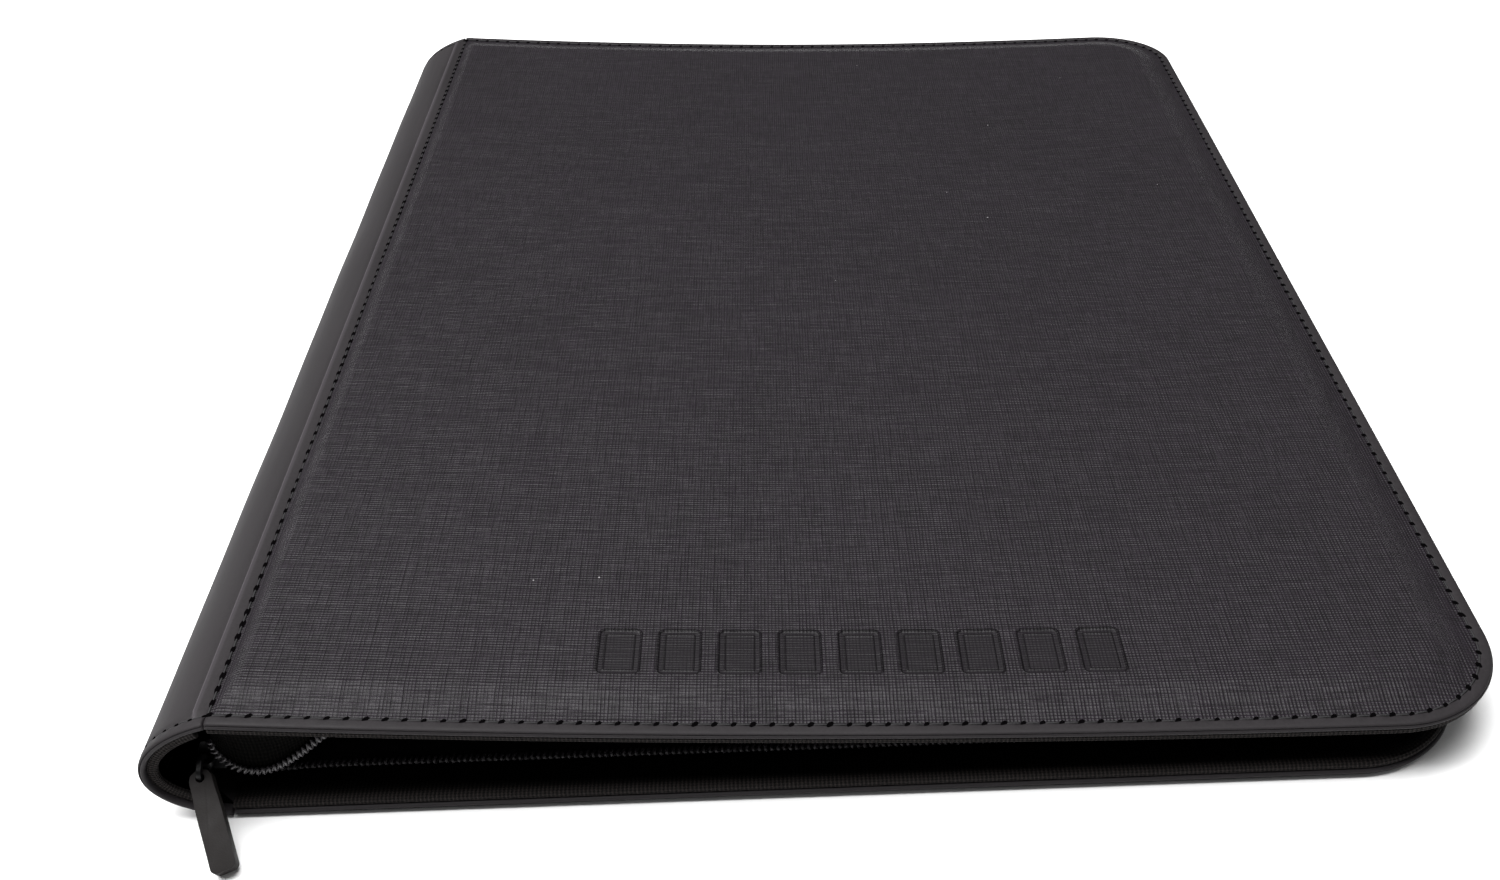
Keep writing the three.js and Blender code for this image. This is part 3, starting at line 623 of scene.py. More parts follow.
def pocket_film():
    """Clear polypropylene pockets welded over a black backing: glossy, slightly wavy, matt at the welds."""
    made, tree, shader = material("polypropylene_film_welded")
    place = node(tree, "TexCoord").outputs["Object"]
    weld = node(tree, "Attribute", {"attribute_name": "weld"}).outputs["Fac"]
    wave = stretched_noise(tree, place, (18 * MM, 26 * MM, None), 2.0)
    grain = stretched_noise(tree, place, (0.5 * MM, 0.5 * MM, None), 1.0)
    tree.links.new(tint(tree, weld, "#17171a", "#2b2b2f"), shader.inputs["Base Color"])
    tree.links.new(remap(tree, weld, 0.0, 1.0, 0.2, 0.5), shader.inputs["Roughness"])
    shader.inputs["IOR"].default_value = 1.49
    shader.inputs["Coat Weight"].default_value = 0.5
    shader.inputs["Coat Roughness"].default_value = 0.12
    height = maths(tree, "ADD", maths(tree, "MULTIPLY", wave, 6.0), maths(tree, "MULTIPLY", grain, weld))
    bump(tree, shader, height, 0.08 * MM)
    return made


def grey_board():
    """Pressed grey bookbinding board: matte, with fibre flecks."""
    made, tree, shader = material("greyboard_pressed")
    place = node(tree, "TexCoord").outputs["Object"]
    fibre = stretched_noise(tree, place, (3 * MM, 0.5 * MM, 0.5 * MM), 3.0)
    tree.links.new(tint(tree, fibre, "#6f6a61", "#9a948a"), shader.inputs["Base Color"])
    shader.inputs["Roughness"].default_value = 0.92
    bump(tree, shader, fibre, 0.05 * MM)
    return made


def sheet_foam():
    """Cut polyethylene foam sheet: open matte cells about 0.6 mm across."""
    made, tree, shader = material("polyethylene_foam_cut")
    place = node(tree, "TexCoord").outputs["Object"]
    cells = node(tree, "TexVoronoi", Vector=place, Scale=1 / (0.6 * MM)).outputs["Distance"]
    tree.links.new(tint(tree, cells, "#3d3d41", "#6a6a70"), shader.inputs["Base Color"])
    shader.inputs["Roughness"].default_value = 0.95
    bump(tree, shader, cells, 0.1 * MM)
    return made


def studio_floor():
    """Matte white backdrop paper with a very faint tooth."""
    made, tree, shader = material("paper_backdrop_white")
    place = node(tree, "TexCoord").outputs["Object"]
    tooth = stretched_noise(tree, place, (3 * MM,) * 3, 2.0)
    tree.links.new(tint(tree, tooth, "#f6f6f6", "#fbfbfb"), shader.inputs["Base Color"])
    shader.inputs["Roughness"].default_value = 0.9
    shader.inputs["Specular IOR Level"].default_value = 0.1
    return made


LINEN = linen_faux_leather()
LEATHER = smooth_faux_leather()
THREAD = bonded_thread()
HOLE_SHADOW = needle_hole_shadow()
TAPE = woven_tape()
COIL = nylon_coil()
ZINC = enamelled_zinc()
RUBBER = moulded_rubber()
LINING = lining_cloth()
FILM = pocket_film()
BOARD = grey_board()
FOAM = sheet_foam()


def settle(piece, finish, body, slot, *replaced):
    """Gives a finished piece its material and its body, and hides the CAD nodes that it stands for; the slot
    is not used.
    """
    piece.data.materials.clear()
    piece.data.materials.append(finish)
    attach(piece, body)
    if replaced:
        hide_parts(*replaced)
    return piece


def fold_flat(piece):
    """Gives one of the spine's soft pieces its own copy of its mesh; it is not flattened."""
    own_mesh(piece)


# ---- covers ----
# Section of the binding, as (inset, height) in mm: from under the stitch groove over the top leather,
# down its edge, in at the glue line, round the rolled core below it, and back inside.
BINDING_SECTION = [
    (2.95, -0.75), (2.85, -0.36), (2.6, -0.2), (2.25, -0.04), (1.8, 0.0), (1.2, 0.0), (0.75, -0.04),
    (0.42, -0.16), (0.26, -0.34), (0.28, -0.46), (0.46, -0.54), (0.28, -0.62), (0.1, -0.74), (0.0, -0.95),
    (0.06, -1.2), (0.26, -1.4), (0.6, -1.5), (1.2, -1.5), (2.2, -1.5), (2.5, -1.2),
]
# Section of the tape: a ribbed lip below the binding, then a thin web inwards to the coil.
TAPE_SECTION = [
    (1.0, -1.52), (0.72, -1.62), (0.52, -1.8), (0.42, -2.1), (0.4, -2.45), (0.5, -2.75), (0.75, -3.0),
    (1.15, -3.1), (1.8, -3.12), (4.0, -3.15), (8.9, -3.15), (9.0, -2.9), (8.9, -2.62), (4.0, -2.6),
    (2.4, -2.5), (1.6, -1.9),
]
PUCKER = 0.07 * MM


def rounded_section(section, count):
    """A closed spline through a section's points, in metres, and the distance round it."""
    points = np.asarray(section, float) * MM
    looped = np.concatenate([points[-1:], points, points[:2]])
    s = np.linspace(0, len(points) - 1e-9, count, endpoint=False)
    k = s.astype(int)
    t = (s - k)[:, None]
    a, b = looped[k], looped[k + 1]
    c, d = looped[k + 2], looped[(k + 3) % len(looped)]
    curve = between(a, b, c, d, t)
    return curve[:, 0], curve[:, 1], distance_along(curve)


def skin(cover, pressed_row):
    """Linen panel: a height over the rounded plan, thickened inwards; the front one carries the card row."""
    width = cover.fore_x - cover.start_x
    if pressed_row:
        half = (CARD_COUNT * CARD_PITCH / 2 + 2 * MM) / width
        middle = 0.5
        across = np.concatenate([
            np.linspace(0, 0.05, 14)[:-1], np.linspace(0.05, middle - half, 12)[:-1],
            np.linspace(middle - half, middle + half, 270)[:-1], np.linspace(middle + half, 0.945, 12)[:-1],
            np.linspace(0.945, 1, 16)])
        rows = [NEAR_Y + CARD_ROW_Y + np.linspace(-7, 7, 45) * MM]
        rows.append(np.linspace(NEAR_Y + CARD_ROW_Y + 9 * MM, FAR_Y - CORNER_RADIUS - 1 * MM, 24))
        corner_rows = 22
    else:
        across = np.concatenate([np.linspace(0, 0.05, 10)[:-1], np.linspace(0.05, 0.945, 30)[:-1],
                                 np.linspace(0.945, 1, 14)])
        rows = [np.linspace(NEAR_Y + CORNER_RADIUS + 1 * MM, FAR_Y - CORNER_RADIUS - 1 * MM, 30)]
        corner_rows = 26
    x, y = plan_grid(cover, SKIN_INSET, cover.start_x - 0.2 * MM, across, corner_rows, np.concatenate(rows))
    height = skin_height(cover, x, y)
    inset = edge_distance(cover, x, y)
    level = ramp(inset, 5 * MM, 20 * MM)
    card = np.zeros(x.shape)
    if pressed_row:
        height = height + level * undulation(x, y, 90 * MM, 0.25 * MM)
        distance = card_row(x, y)
        height = height - DEBOSS_DEPTH * (1 - ramp(distance, -0.3 * MM, 0.1 * MM))
        card = np.clip((CARD_REACH - distance) / MM, 0, 6)
    top = np.stack([x, y, cover.z(x, height)], -1)
    bottom = np.stack([x, y, cover.z(x, height - SKIN_THICKNESS)], -1)
    piece = slab(cover.name + "_linen_skin", top, bottom, {"card": card})
    settle(piece, LINEN, cover.body, "cover_leather", cover.name + "_skin")


def foam_pad(cover):
    """Thin pad under the skin, a little inside its slopes."""
    across = np.linspace(0, 1, 40)
    rows = np.linspace(NEAR_Y + CORNER_RADIUS + 1 * MM, FAR_Y - CORNER_RADIUS - 1 * MM, 30)
    x, y = plan_grid(cover, 5.5 * MM, cover.start_x + 3 * MM, across, 12, rows)
    top_height = np.maximum(skin_height(cover, x, y) - SKIN_THICKNESS - 0.4 * MM, -0.62 * MM)
    top = np.stack([x, y, cover.z(x, top_height)], -1)
    bottom = np.stack([x, y, cover.z(x, np.full(x.shape, -0.72 * MM))], -1)
    piece = slab(cover.name + "_foam_pad", top, bottom)
    settle(piece, FOAM, cover.body, "foam", cover.name + "_foam")


def inner_lining(cover):
    """Lining cloth glued inside the board, slightly wavy on its inner face."""
    across = np.linspace(0, 1, 70)
    rows = np.linspace(NEAR_Y + CORNER_RADIUS + 1 * MM, FAR_Y - CORNER_RADIUS - 1 * MM, 60)
    x, y = plan_grid(cover, LINING_INSET, cover.start_x, across, 14, rows)
    wave = undulation(x, y, 40 * MM, 0.05 * MM)
    top = np.stack([x, y, cover.z(x, np.full(x.shape, -1.95 * MM))], -1)
    bottom = np.stack([x, y, cover.z(x, -2.3 * MM - np.abs(wave))], -1)
    piece = slab(cover.name + "_lining_cloth", top, bottom)
    settle(piece, LINING, cover.body, "lining_cloth", cover.name + "_lining")


def binding(cover):
    """Rolled binding round three edges; it puckers slightly between the stitches."""
    inset, height, around = rounded_section(BINDING_SECTION, 44)
    length = rim_length(cover, STITCH_INSET)
    travel = np.linspace(0, length, int(length / STITCH_PITCH * 5))
    pucker = PUCKER * np.cos(2 * math.pi * travel / STITCH_PITCH)[:, None]
    near_stitch = np.exp(-(((inset - 2.5 * MM) / (0.8 * MM)) ** 2)) * (height > -0.7 * MM)
    drift = 0.05 * MM * np.sin(travel / (23 * MM))[:, None] * (height > -0.7 * MM)
    grid = rim_sweep(cover, travel, STITCH_INSET, inset, height - pucker * near_stitch + drift)
    uv = np.stack(np.broadcast_arrays(travel[:, None], around), -1)
    piece = swept(cover.name + "_rolled_binding", grid, uv)
    settle(piece, LEATHER, cover.body, "binding_leather", cover.name + "_edge_binding")


def zip_tape(cover):
    """Woven tape sewn under the binding."""
    inset, height, around = rounded_section(TAPE_SECTION, 36)
    length = rim_length(cover, STITCH_INSET)
    travel = np.linspace(0, length, 420)
    ripple = 0.12 * MM * np.sin(travel / (7 * MM))[:, None] * ramp(inset, 4 * MM, 9 * MM)
    grid = rim_sweep(cover, travel, STITCH_INSET, inset, height + ripple)
    uv = np.stack(np.broadcast_arrays(travel[:, None], around), -1)
    # painted light: the tape's lip is painted as lit, its web inwards as in painted shade
    painted_lit = np.broadcast_to(1 - ramp(inset, 1.2 * MM, 3.2 * MM), grid.shape[:2])
    piece = swept(cover.name + "_woven_tape", grid, uv, {"painted_lit": painted_lit})
    settle(piece, TAPE, cover.body, "zip_tape", cover.name + "_zip_tape")


def stitches(name, centre, along, aside, up, body, nodes, hole_size, length=STITCH_PITCH):
    """A row of lock stitches and the painted shadows of the needle holes between them.

    Each thread is a capsule along its stitch, whose crown is flat and whose two ends dive into the holes.
    Each needle hole is drawn as its painted shadow: a shallow dished dark lens, longer aslant than across,
    and one more starts the row.
    """
    share = np.linspace(-1, 1, 9)
    sides = np.linspace(0, 2 * math.pi, 8, endpoint=False)
    crown = 0.35 * THREAD_RADIUS - 3.0 * THREAD_RADIUS * np.abs(share) ** 6
    radius = THREAD_RADIUS * np.sqrt(np.maximum(1 - 0.8 * np.abs(share) ** 8, 0.05))
    middle = centre[:, None] + along[:, None] * (share * length * 0.46)[:, None]
    middle = middle + up[:, None] * crown[:, None]
    ring = (aside[:, None, None] * np.cos(sides)[:, None] + up[:, None, None] * np.sin(sides)[:, None])
    piece = many_tubes(name + "_stitches", middle[:, :, None] + ring * radius[:, None, None])
    settle(piece, THREAD, body, "thread", *nodes)
    index = np.concatenate([[0], np.arange(len(centre))])
    shift = np.where(np.arange(len(index)) == 0, -0.5, 0.5) * length
    hole = centre[index] + along[index] * shift[:, None]
    along, aside, up = along[index], aside[index], up[index]
    rings = np.array([0.04, 0.5, 0.85, 1.0])
    lift = np.array([0.17, 0.17, 0.14, -0.2]) * MM
    disc = hole[:, None, None] + up[:, None, None] * lift[:, None, None]
    jitter = RNG.uniform(0.85, 1.15, (len(hole), 1, 1))
    slant = aside[:, None, None] + 0.35 * along[:, None, None]
    reach = (along[:, None, None] * np.cos(sides)[:, None] * hole_size[0]
             + slant * np.sin(sides)[:, None] * hole_size[1]) * jitter[..., None]
    # painted shadow: dark lenses stand for the shade inside the needle holes
    hole_shadows = many_tubes(name + "_needle_holes", disc + reach * rings[:, None, None])
    settle(hole_shadows, HOLE_SHADOW, body, "thread")


def edge_stitches(cover):
    """Stitches along the groove round the three free edges."""
    length = rim_length(cover, STITCH_INSET) - 0.8 * MM
    count = int(length / STITCH_PITCH)
    travel = 0.4 * MM + (np.arange(count) + 0.5) * length / count
    base, inward = rim_at(cover, travel, STITCH_INSET)
    plan = base + inward * STITCH_INSET
    centre = np.column_stack([plan, cover.z(plan[:, 0], np.full(count, 0.06 * MM - GROOVE_DEPTH))])
    aside = np.column_stack([inward, np.zeros(count)])
    up = np.broadcast_to([0, 0, cover.outwards], centre.shape).astype(float)
    along = np.cross(aside, up) * cover.outwards
    slope = (np.polyval(np.polyder(cover.plane), plan[:, 0]) * along[:, 0])[:, None]
    along = along + np.array([0, 0, 1]) * slope
    stitches(cover.name + "_edge", centre, along, aside, up, cover.body, [cover.name + "_edge_thread"],
             (0.68 * MM, 0.84 * MM))


def seam_stitches(cover):
    """Stitches in the valley between the spine's hem and the panel."""
    start, end = NEAR_Y + STITCH_INSET, FAR_Y - STITCH_INSET
    count = int((end - start) / STITCH_PITCH)
    y = start + (np.arange(count) + 0.5) * (end - start) / count
    x = np.full(count, HINGE_X + 0.55 * MM)
    centre = np.column_stack([x, y, cover.z(x, np.full(count, -0.66 * MM))])
    along = np.broadcast_to([0.0, 1.0, 0.0], centre.shape)
    aside = np.broadcast_to([1.0, 0.0, 0.0], centre.shape)
    up = np.broadcast_to([0.0, 0.0, cover.outwards], centre.shape)
    stitches(cover.name + "_seam", centre, along, aside, up, cover.body, [cover.name + "_seam_thread"],
             (1.3 * MM, 0.62 * MM))


for each in (FRONT, BACK):
    skin(each, each is FRONT)
    foam_pad(each)
    inner_lining(each)
    binding(each)
    zip_tape(each)
    edge_stitches(each)
    seam_stitches(each)


# ---- zip coils ----
COIL_INSET = 9.5 * MM
TAIL_LENGTH = 34 * MM
COIL_HEIGHT_AT = -3.95 * MM


def coil_route(cover, loose):
    """The loose stretch from the slider through a few points, then the line round the rim."""
    length = rim_length(cover, COIL_INSET)
    skip = loose[-1][0] - (cover.start_x - HINGE_X) / MM
    travel = np.arange(skip * MM + 4 * MM, length - 6 * MM, 2 * MM)
    base, inward = rim_at(cover, travel, COIL_INSET)
    plan = base + inward * COIL_INSET
    ring = np.column_stack([plan, cover.z(plan[:, 0], np.full(len(travel), COIL_HEIGHT_AT))])
    start = np.array(loose) * MM + [HINGE_X, NEAR_Y, 0]
    tail = spline(np.concatenate([start, ring[:3]]), 160)
    return resample(np.concatenate([tail[tail[:, 0] < ring[1, 0]], ring[2:]]), 0.1 * MM)


def coil_frame(route):
    """Level side vector (left of travel) and upward normal along a route."""
    tangent = np.gradient(route, axis=0)
    tangent /= np.linalg.norm(tangent, axis=1)[:, None]
    side = np.cross([0, 0, 1.0], tangent)
    side /= np.linalg.norm(side, axis=1)[:, None]
    return tangent, side, np.cross(tangent, side)


def coil(cover, route, travel, upright_for, node_name):
    """A monofilament wound in flattened turns: an ellipse in the side and up directions as travel goes on.

    The turns stand upright at the slider and have twisted down flat after the given travel.
    """
    turns = travel[-1] / COIL_PITCH
    steps = int(turns * 11)
    at = np.linspace(0, travel[-1], steps)
    tangent, side, up = coil_frame(route)
    line, left, over, ahead = [np.stack([np.interp(at, travel, part[:, k]) for k in range(3)], 1)
                               for part in (route, side, up, tangent)]
    twist = (math.pi / 2 * (1 - ramp(at, 0.45 * upright_for, upright_for)))[:, None]
    left, over = np.cos(twist) * left + np.sin(twist) * over, np.cos(twist) * over - np.sin(twist) * left
    phase = 2 * math.pi * at / COIL_PITCH
    half_width, half_height = COIL_WIDTH / 2 - COIL_WIRE, COIL_HEIGHT / 2 - COIL_WIRE
    lean = 0.35 * MM * np.cos(phase)[:, None] * ahead
    sway = left * (half_width * np.cos(phase))[:, None]
    wire = line + sway + over * (half_height * np.sin(phase))[:, None] + lean
    direction = np.gradient(wire, axis=0)
    direction /= np.linalg.norm(direction, axis=1)[:, None]
    normal = left * np.cos(phase)[:, None] + over * np.sin(phase)[:, None]
    normal -= direction * np.einsum("ij,ij->i", normal, direction)[:, None]
    normal /= np.linalg.norm(normal, axis=1)[:, None]
    across = np.cross(direction, normal)
    round_ = np.linspace(0, 2 * math.pi, 6, endpoint=False)
    grid = (wire[:, None] + COIL_WIRE * (normal[:, None] * np.cos(round_)[:, None]
                                         + across[:, None] * np.sin(round_)[:, None]))
    piece = swept(cover.name + "_coil_turns", grid)
    settle(piece, COIL, cover.body, "zip_coil", node_name)


# Loose stretches, in mm from the near end of the hinge line: x, y, z of the coil's middle.
UPPER_LOOSE = [(-2.0, 5.0, 16.6), (-1.3, 4.6, 13.4), (1.6, 4.2, 10.0), (5.6, 4.0, 8.7), (10.0, 4.2, 9.6),
               (15.0, 5.0, 12.4), (20.0, 6.4, 15.8), (26.0, 8.0, 18.6)]
LOWER_LOOSE = [(-0.4, 8.2, 9.6), (1.6, 8.2, 6.6), (4.6, 8.6, 4.9), (9.0, 9.0, 4.45), (16.0, 9.4, 4.38)]


def tail_tape(route, travel):
    """Loose upper tape: a sheet ruled from the coil's line up to the cover's underside."""
    part = route[travel < TAIL_LENGTH][::8]
    run = travel[travel < TAIL_LENGTH][::8]
    share = np.linspace(0, 1, 12)
    over = np.stack([np.maximum(part[:, 0], HINGE_X + 0.8 * MM), np.full(len(part), NEAR_Y + 2.6 * MM),
                     FRONT.z(part[:, 0], np.full(len(part), -3.0 * MM))], 1)
    blend = part[:, None] * (1 - share)[:, None] + over[:, None] * share[:, None]
    blend[..., 1] += 0.9 * MM + 1.2 * MM * np.sin(math.pi * share)
    outside = blend - [0, 0.28 * MM, 0]
    inside = blend + [0, 0.28 * MM, 0]
    grid = np.concatenate([outside, inside[:, ::-1]], 1)
    across = np.concatenate([share, share[::-1]]) * 9 * MM
    uv = np.stack(np.broadcast_arrays(run[:, None], across), -1)
    # painted shade: the tail has no lit mark, so it takes the tape's near-black shaded tone
    piece = swept("front_tape_tail", grid, uv)
    settle(piece, TAPE, "front_cover", "zip_tape", "front_zip_tail_tape")


upper_route, upper_travel = coil_route(FRONT, UPPER_LOOSE)
lower_route, lower_travel = coil_route(BACK, LOWER_LOOSE)
coil(FRONT, upper_route, upper_travel, 42 * MM, "front_zip_coil")
coil(BACK, lower_route, lower_travel, 14 * MM, "back_zip_coil")
tail_tape(upper_route, upper_travel)


# ---- spine ----
SPINE_LOW, SPINE_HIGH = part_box("spine_skin")
SPINE_THICKNESS = 1.1 * MM
CREASE_AT = 2.9 * MM  # from a seam to the fold of its hem
HEM_WIDTH = 4.2 * MM
END_PITCH = 0.82 * STITCH_PITCH  # stitches round an end of the spine are shorter


def spine_curve(t, bulge):
    """Cubic Bezier from the front seam round to the back seam; bulge scales how far it stands out."""
    t = np.asarray(t, float)
    reach = (HINGE_X - SPINE_LOW[0]) * np.asarray(bulge, float)
    top = SPINE_HIGH[2] - 0.1 * MM
    across = (HINGE_X + 0.2 * MM, HINGE_X - 1.22 * reach, HINGE_X - 1.38 * reach, HINGE_X + 0.2 * MM)
    upright = (top, top * 0.8, top * 0.15, 0.05 * MM)
    point, slope = [], []
    for a, b, c, d in (across, upright):
        point.append((1 - t) ** 3 * a + 3 * (1 - t) ** 2 * t * b + 3 * (1 - t) * t**2 * c + t**3 * d)
        slope.append((1 - t) ** 2 * (b - a) + 2 * (1 - t) * t * (c - b) + t**2 * (d - c))
    length = np.hypot(slope[0], slope[1])
    inward = np.stack([-slope[1] / length, slope[0] / length], -1)
    return np.stack(np.broadcast_arrays(*point), -1), inward


def spine_bulge(y):
    """The spine stands out less at its near end, where it was handled."""
    return 0.895 + 0.1 * ramp(y, NEAR_Y, FAR_Y)


def hem_relief(distance):
    """Outward height of the folded hem beside a seam: up from the seam to a crease, then a step down."""
    d = distance / MM
    top = CREASE_AT / MM
    climb = -0.6 + 0.95 * np.clip(d / top, 0, 1) ** 0.7
    crease = 0.32 * np.exp(-(((d - top) / 0.25) ** 2))
    step = -0.16 * np.exp(-(((d - top - 0.8) / 0.5) ** 2))
    return (climb * (1 - ramp(d, top, top + 0.6)) + crease + step) * MM


def spine_leather():
    """Soft spine: the C section carried along y, with hems at both seams and a groove near each end."""
    t = np.linspace(0, 1, 400)
    fine, _ = spine_curve(t, 1.0)
    around = distance_along(fine)
    hem = np.linspace(0, HEM_WIDTH, 26)
    body = np.linspace(HEM_WIDTH, around[-1] - HEM_WIDTH, 42)[1:-1]
    places = np.concatenate([hem, body, (around[-1] - hem)[::-1]])
    shares = np.interp(places, around, t)
    ends = np.array([0, 0.15, 0.35, 0.6, 0.9, 1.3, 1.8, 2.6, 4.0, 7.0]) * MM
    y = np.concatenate([NEAR_Y + SPINE_INSET + ends, np.linspace(NEAR_Y + 14 * MM, FAR_Y - 14 * MM, 70),
                        (FAR_Y - SPINE_INSET - ends)[::-1]])
    from_end = np.minimum(y - NEAR_Y, FAR_Y - y)
    groove = -0.3 * MM * np.exp(-(((from_end - STITCH_INSET) / (0.7 * MM)) ** 2))
    seam = np.minimum(places, around[-1] - places)
    level = ramp(from_end, STITCH_INSET, STITCH_INSET + 1.5 * MM)
    relief = hem_relief(seam)[None] * level[:, None] + groove[:, None]
    relief = relief + ramp(seam, 5 * MM, 14 * MM) * undulation(places[None], y[:, None], 60 * MM, 0.25 * MM)
    point, inward = spine_curve(shares[None], spine_bulge(y)[:, None])
    outer = point - inward * relief[..., None]
    inner = point + inward * SPINE_THICKNESS
    loop = np.concatenate([outer, inner[:, ::-1]], 1)
    grid = carried_along_y(loop, y[:, None])
    crease = np.exp(-(((seam - CREASE_AT) / (0.5 * MM)) ** 2))
    # painted highlight along the hem's crease, on the outer face only
    crease_highlight = np.broadcast_to(np.concatenate([crease, 0 * crease]), grid.shape[:2])
    piece = swept("spine_leather", grid, marks={"crease_highlight": crease_highlight})
    settle(piece, LEATHER, "spine", "spine_leather", "spine_skin")
    fold_flat(piece)


def spine_end(name, end_y, inward_y):
    """The cover's rolled binding carried on round an end of the spine, following the C section."""
    inset, height, around = rounded_section(BINDING_SECTION, 44)
    t = np.linspace(0.004, 0.996, 150)
    point, inward = spine_curve(t, spine_bulge(end_y))
    travel = distance_along(point)
    pucker = PUCKER * np.cos(2 * math.pi * travel / END_PITCH)[:, None]
    near_stitch = np.exp(-(((inset - 2.5 * MM) / (0.8 * MM)) ** 2)) * (height > -0.7 * MM)
    depth = -(height - pucker * near_stitch)
    section = point[:, None] + inward[:, None] * depth[..., None]
    grid = carried_along_y(section, end_y + inward_y * inset)
    piece = swept(name + "_rolled_end", grid)
    settle(piece, LEATHER, "spine", "spine_leather")
    fold_flat(piece)
    count = int(travel[-1] / END_PITCH)
    at = (np.arange(count) + 0.5) * travel[-1] / count
    middle = np.stack([np.interp(at, travel, point[:, k]) for k in range(2)], 1)
    normal = np.stack([np.interp(at, travel, inward[:, k]) for k in range(2)], 1)
    middle = middle + normal * 0.26 * MM
    centre = np.column_stack([middle[:, 0], np.full(count, end_y + inward_y * STITCH_INSET), middle[:, 1]])
    up = -np.column_stack([normal[:, 0], np.zeros(count), normal[:, 1]])
    aside = np.broadcast_to([0.0, 1.0, 0.0], centre.shape)
    along = np.cross(aside, up)
    stitches(name + "_end", centre, along, aside, up, "spine", [], (0.55 * MM, 0.3 * MM), END_PITCH)
    for piece_name in (name + "_end_stitches", name + "_end_needle_holes"):
        fold_flat(bpy.data.objects[piece_name])


def spine_band(name, node_name):
    """Woven band that closes an end of the spine: an oval section carried round inside the C."""
    low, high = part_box(node_name)
    t = np.linspace(0.06, 0.94, 90)
    point, inward = spine_curve(t, spine_bulge(low[1]))
    travel = distance_along(point)
    angle = np.linspace(0, 2 * math.pi, 24, endpoint=False)
    depth = 2.6 * MM + 1.1 * MM * squared(np.cos(angle), 0.6)
    y = (low[1] + high[1]) / 2 + 0.6 * MM * squared(np.sin(angle), 0.6)
    section = point[:, None] + inward[:, None] * depth[:, None]
    grid = carried_along_y(section, y)
    uv = np.stack(np.broadcast_arrays(travel[:, None], angle * 1.4 * MM), -1)
    # painted light: the whole band takes the tape's paler lit tone
    piece = swept(name, grid, uv, {"painted_lit": np.ones(grid.shape[:2])})
    settle(piece, TAPE, "spine", "zip_tape", node_name)
    fold_flat(piece)


def spine_liner():
    """Lining cloth inside the spine, between its two end bands."""
    low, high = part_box("spine_lining")
    t = np.linspace(0.07, 0.93, 60)
    y = np.linspace(low[1], high[1], 90)
    point, inward = spine_curve(t[None], spine_bulge(y)[:, None])
    wave = undulation(t[None] * 50 * MM, y[:, None], 30 * MM, 0.06 * MM)
    outer = point + inward * 1.3 * MM
    inner = point + inward * (1.75 * MM + wave[..., None])
    loop = np.concatenate([outer, inner[:, ::-1]], 1)
    grid = carried_along_y(loop, y[:, None])
    piece = swept("spine_lining_cloth", grid)
    settle(piece, LINING, "spine", "lining_cloth", "spine_lining")
    fold_flat(piece)


spine_leather()
spine_end("spine_near", NEAR_Y, 1)
spine_end("spine_far", FAR_Y, -1)
spine_band("spine_near_woven_band", "spine_near_band")
spine_band("spine_far_woven_band", "spine_far_band")
spine_liner()


def soft_bar(name, node_name, finish, slot, body, squashed=False):
    """A sewn strip: a superellipse section in x and z carried along y, slightly waisted at each stitch."""
    low, high = [np.array(corner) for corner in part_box(node_name)]
    centre, half = (low + high) / 2, (high - low) / 2
    angle = np.linspace(0, 2 * math.pi, 28, endpoint=False)
    y = np.linspace(low[1], high[1], 320)
    waist = 1 - 0.035 * np.cos(2 * math.pi * y / STITCH_PITCH)
    x = centre[0] + half[0] * squared(np.cos(angle), 0.35)
    z = centre[2] + 0.96 * half[2] * waist[:, None] * squared(np.sin(angle), 0.35)
    grid = np.stack(np.broadcast_arrays(x[None], y[:, None], z), -1)
    piece = swept(name, grid)
    settle(piece, finish, body, slot, node_name)
    if squashed:
        fold_flat(piece)


soft_bar("page_sewn_strip", "page_binding_strip", LINING, "lining_cloth", "spine")
soft_bar("page_cloth_flange", "page_hinge_flange", LINING, "lining_cloth", "spine", squashed=True)


# ---- leaves ----
def leaf(name):
    """A nine-pocket leaf: two film faces that puff a little inside each pocket and meet at the welds."""
    low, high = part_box(name)
    margin, edge = 8 * MM, 3 * MM
    columns = np.linspace(low[0] + margin, high[0] - edge, 4)
    rows = np.linspace(low[1] + edge, high[1] - edge, 4)
    steps = np.array([0, 0.6, 1.2, 2.0, 4.0, 9.0]) * MM

    def stations(first, last, welds):
        """Places close together at each weld and one halfway between two welds."""
        around = [weld + sign * steps for weld in welds for sign in (-1, 1)]
        middles = [(a + b) / 2 for a, b in zip(welds[:-1], welds[1:])]
        every = np.unique(np.round(np.concatenate(around + [middles, [first, last]]), 6))
        return every[(every >= first) & (every <= last)]

    x, y = np.meshgrid(stations(low[0], high[0], columns), stations(low[1], high[1], rows))
    from_weld_x = np.abs(x[..., None] - columns).min(-1)
    from_weld_y = np.abs(y[..., None] - rows).min(-1)
    nearest = np.minimum(from_weld_x, from_weld_y)
    outside = (x < columns[0]) | (x > columns[-1]) | (y < rows[0]) | (y > rows[-1])
    puff = np.where(outside, 0.35, ramp(nearest, 0.2 * MM, 3.5 * MM))
    middle = (low[2] + high[2]) / 2
    half = 0.06 * MM + 0.11 * MM * puff
    weld = 1 - ramp(nearest, 0.4 * MM, 1.1 * MM)
    top = np.stack([x, y, middle + half], -1)
    bottom = np.stack([x, y, middle - half], -1)
    piece = slab("pocket_" + name, top, bottom, {"weld": weld})
    settle(piece, FILM, name, "leaf_film", name)


for leaf_name in sorted(name for name in NODES if name.startswith("leaf_")):
    leaf(leaf_name)


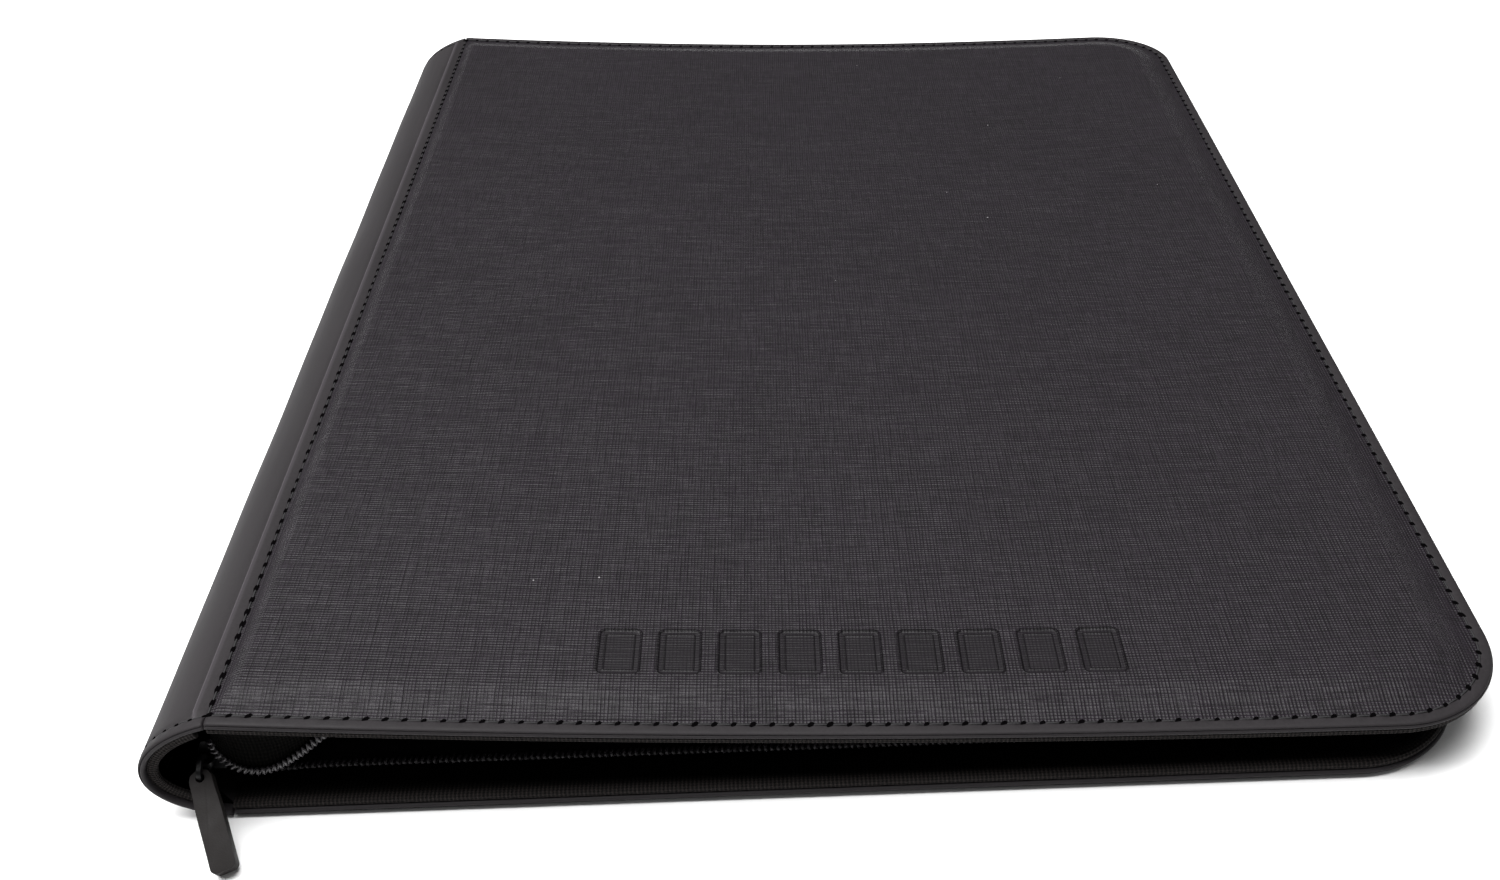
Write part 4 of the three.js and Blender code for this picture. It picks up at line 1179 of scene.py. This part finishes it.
# ---- zip runner ----
def softened(node_name, name, finish, slot, body, bevel, segments=3):
    """A merged copy of a CAD solid with its edges rounded."""
    source = NODES[node_name]
    piece = source.copy()
    piece.data = source.data.copy()
    piece.name = name
    for key in list(piece.keys()):
        del piece[key]
    bpy.context.scene.collection.objects.link(piece)
    piece.parent = None
    piece.matrix_world = Matrix.Identity(4)
    weld = piece.modifiers.new("weld", "WELD")
    weld.merge_threshold = 0.01 * MM
    rounding = piece.modifiers.new("rounding", "BEVEL")
    rounding.width = bevel
    rounding.segments = segments
    rounding.limit_method = "ANGLE"
    rounding.angle_limit = math.radians(35)
    for polygon in piece.data.polygons:
        polygon.use_smooth = True
    rounding.harden_normals = True
    return settle(piece, finish, body, slot, node_name)


softened("zip_slider", "slider_casting", ZINC, "zip_metal", "zip_slider", 0.22 * MM)
softened("pull_loop", "pull_link", ZINC, "zip_metal", "zip_pull", 0.25 * MM)
softened("pull_tab", "pull_grip", RUBBER, "pull_rubber", "zip_pull", 0.7 * MM, 4)
for name in ("front_top_stop", "back_top_stop"):
    softened(name, name + "_crimp", ZINC, "zip_metal", name.split("_")[0] + "_cover", 0.25 * MM)
softened("zip_bottom_stop", "zip_bottom_stop_crimp", ZINC, "zip_metal", "back_cover", 0.25 * MM)
for cover_name in ("front", "back"):
    board = NODES[cover_name + "_board"]
    board.data.materials.clear()
    board.data.materials.append(BOARD)


# ---- stage, light and camera ----
def stage():
    """A wide white sheet just under the binder."""
    reach = 6.0
    corners = np.array([(-reach, -reach), (reach, -reach), (reach, reach), (-reach, reach)])
    points = np.column_stack([corners, np.full(4, -0.0002)])
    floor = new_mesh("floor", points, [np.array([[0, 1, 2, 3]])], smooth=False)
    floor.data.materials.append(studio_floor())


def area_light(name, place, target, size, power):
    """A rectangular softbox aimed at a point."""
    data = bpy.data.lights.new(name, "AREA")
    data.shape = "RECTANGLE"
    data.size, data.size_y = size
    data.energy = power
    lamp = bpy.data.objects.new(name, data)
    bpy.context.scene.collection.objects.link(lamp)
    aim = Vector(target) - Vector(place)
    lamp.matrix_world = Matrix.Translation(place) @ aim.to_track_quat("-Z", "Y").to_matrix().to_4x4()


def camera():
    """A view from above the near edge, turned and rolled slightly."""
    pitch, yaw, roll = math.radians(35.79), math.radians(-2.18), math.radians(-3.72)
    ahead = Vector((math.sin(yaw) * math.cos(pitch), math.cos(yaw) * math.cos(pitch), -math.sin(pitch)))
    level = Vector((math.cos(yaw), -math.sin(yaw), 0))
    above = level.cross(ahead)
    right = math.cos(roll) * level + math.sin(roll) * above
    up = -math.sin(roll) * level + math.cos(roll) * above
    data = bpy.data.cameras.new("view")
    data.sensor_width = 36
    data.lens = 37.9
    data.clip_start = 0.01
    made = bpy.data.objects.new("view", data)
    bpy.context.scene.collection.objects.link(made)
    made.matrix_world = Matrix((
        (right.x, up.x, -ahead.x, HINGE_X + 114.21 * MM),
        (right.y, up.y, -ahead.y, NEAR_Y - 208.12 * MM),
        (right.z, up.z, -ahead.z, 236.4 * MM),
        (0, 0, 0, 1)))
    bpy.context.scene.camera = made


def world():
    """Even pale surroundings."""
    sky = bpy.data.worlds.new("studio")
    sky.use_nodes = True
    background = sky.node_tree.nodes["Background"]
    background.inputs[0].default_value = (1, 1, 1, 1)
    background.inputs[1].default_value = 0.2
    bpy.context.scene.world = sky
    bpy.context.scene.view_settings.view_transform = "Standard"


stage()
area_light("overhead", (-0.9, -0.04, 1.5), (-0.9, -0.04, 0), (2.7, 1.0), 92)
world()
camera()
